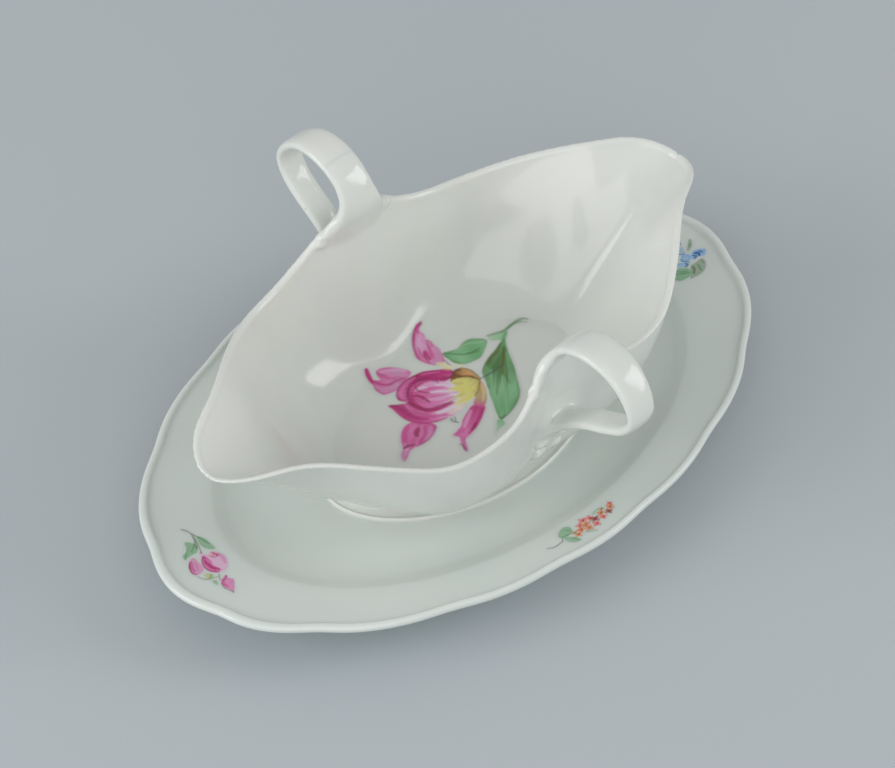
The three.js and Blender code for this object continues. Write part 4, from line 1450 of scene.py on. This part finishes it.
settle(bowl, bowl_glaze, "bowl_glaze", "boat_bowl")
settle(far_handle, bowl_glaze, "handle_glaze", "far_handle_strap")
settle(near_handle, bowl_glaze, "handle_glaze", "near_handle_strap")
settle(far_leaf, bowl_glaze, "handle_glaze", "far_handle_leaf")
settle(near_leaf, bowl_glaze, "handle_glaze", "near_handle_leaf")
settle(stand, stand_glaze, "stand_glaze", "stand_dish")
settle(band, bowl_glaze, "foot_glaze", "foot_collar")
settle(resting_ring, bare_porcelain(), "bare_foot", "stand_foot_ring")


# ---------------------------------------------------------------- setting


def backdrop():
    bpy.ops.mesh.primitive_plane_add(size=8)
    plane = bpy.context.object
    plane.name = "backdrop"
    material, tree, shader = node_material("backdrop_paper")
    place = add_node(tree, "ShaderNodeTexCoord").outputs["Object"]
    cloud = add_node(tree, "ShaderNodeTexNoise", {"Vector": place, "Scale": 3.0, "Detail": 2.0})
    paper = add_node(tree, "ShaderNodeMix", {"Factor": cloud.outputs["Fac"]}, data_type="RGBA")
    paper.inputs["A"].default_value = (0.427, 0.479, 0.499, 1)
    paper.inputs["B"].default_value = (0.455, 0.497, 0.528, 1)
    tree.links.new(paper.outputs["Result"], shader.inputs["Base Color"])
    shader.inputs["Roughness"].default_value = 0.85
    plane.data.materials.append(material)


def area_light(name, place, aim, size, power):
    data = bpy.data.lights.new(name, "AREA")
    data.shape = "RECTANGLE"
    data.size, data.size_y = size
    data.energy = power
    lamp = bpy.data.objects.new(name, data)
    bpy.context.scene.collection.objects.link(lamp)
    lamp.location = place
    lamp.rotation_euler = (Vector(aim) - Vector(place)).to_track_quat("-Z", "Y").to_euler()


def camera():
    data = bpy.data.cameras.new("camera")
    data.lens = 111.0
    data.sensor_width = 36.0
    data.clip_end = 50
    eye = Vector((-0.4805, -0.4881, 0.7359))
    aim = Vector((-0.0038, 0.0001, 0.030))
    obj = bpy.data.objects.new("camera", data)
    bpy.context.scene.collection.objects.link(obj)
    obj.location = eye
    obj.rotation_euler = (aim - eye).to_track_quat("-Z", "Y").to_euler()
    bpy.context.scene.camera = obj


def studio():
    """Soft daylight from three sides, and the pale room round it."""
    area_light("window_right", (1.1, -1.05, 0.75), (0, 0, 0.03), (0.7, 0.9), 7.7)
    area_light("window_front", (-1.2, -1.2, 0.9), (0, 0, 0.03), (1.5, 1.5), 9.3)
    area_light("window_left", (-1.6, 0.6, 0.8), (0, 0, 0.03), (1.2, 1.2), 14.9)
    scene = bpy.context.scene
    scene.world = bpy.data.worlds.new("studio")
    scene.world.use_nodes = True
    sky = scene.world.node_tree.nodes["Background"]
    sky.inputs["Color"].default_value = (1, 1, 1, 1)
    sky.inputs["Strength"].default_value = 0.54
    scene.view_settings.view_transform = "Standard"
    scene.view_settings.look = "None"


backdrop()
camera()
studio()
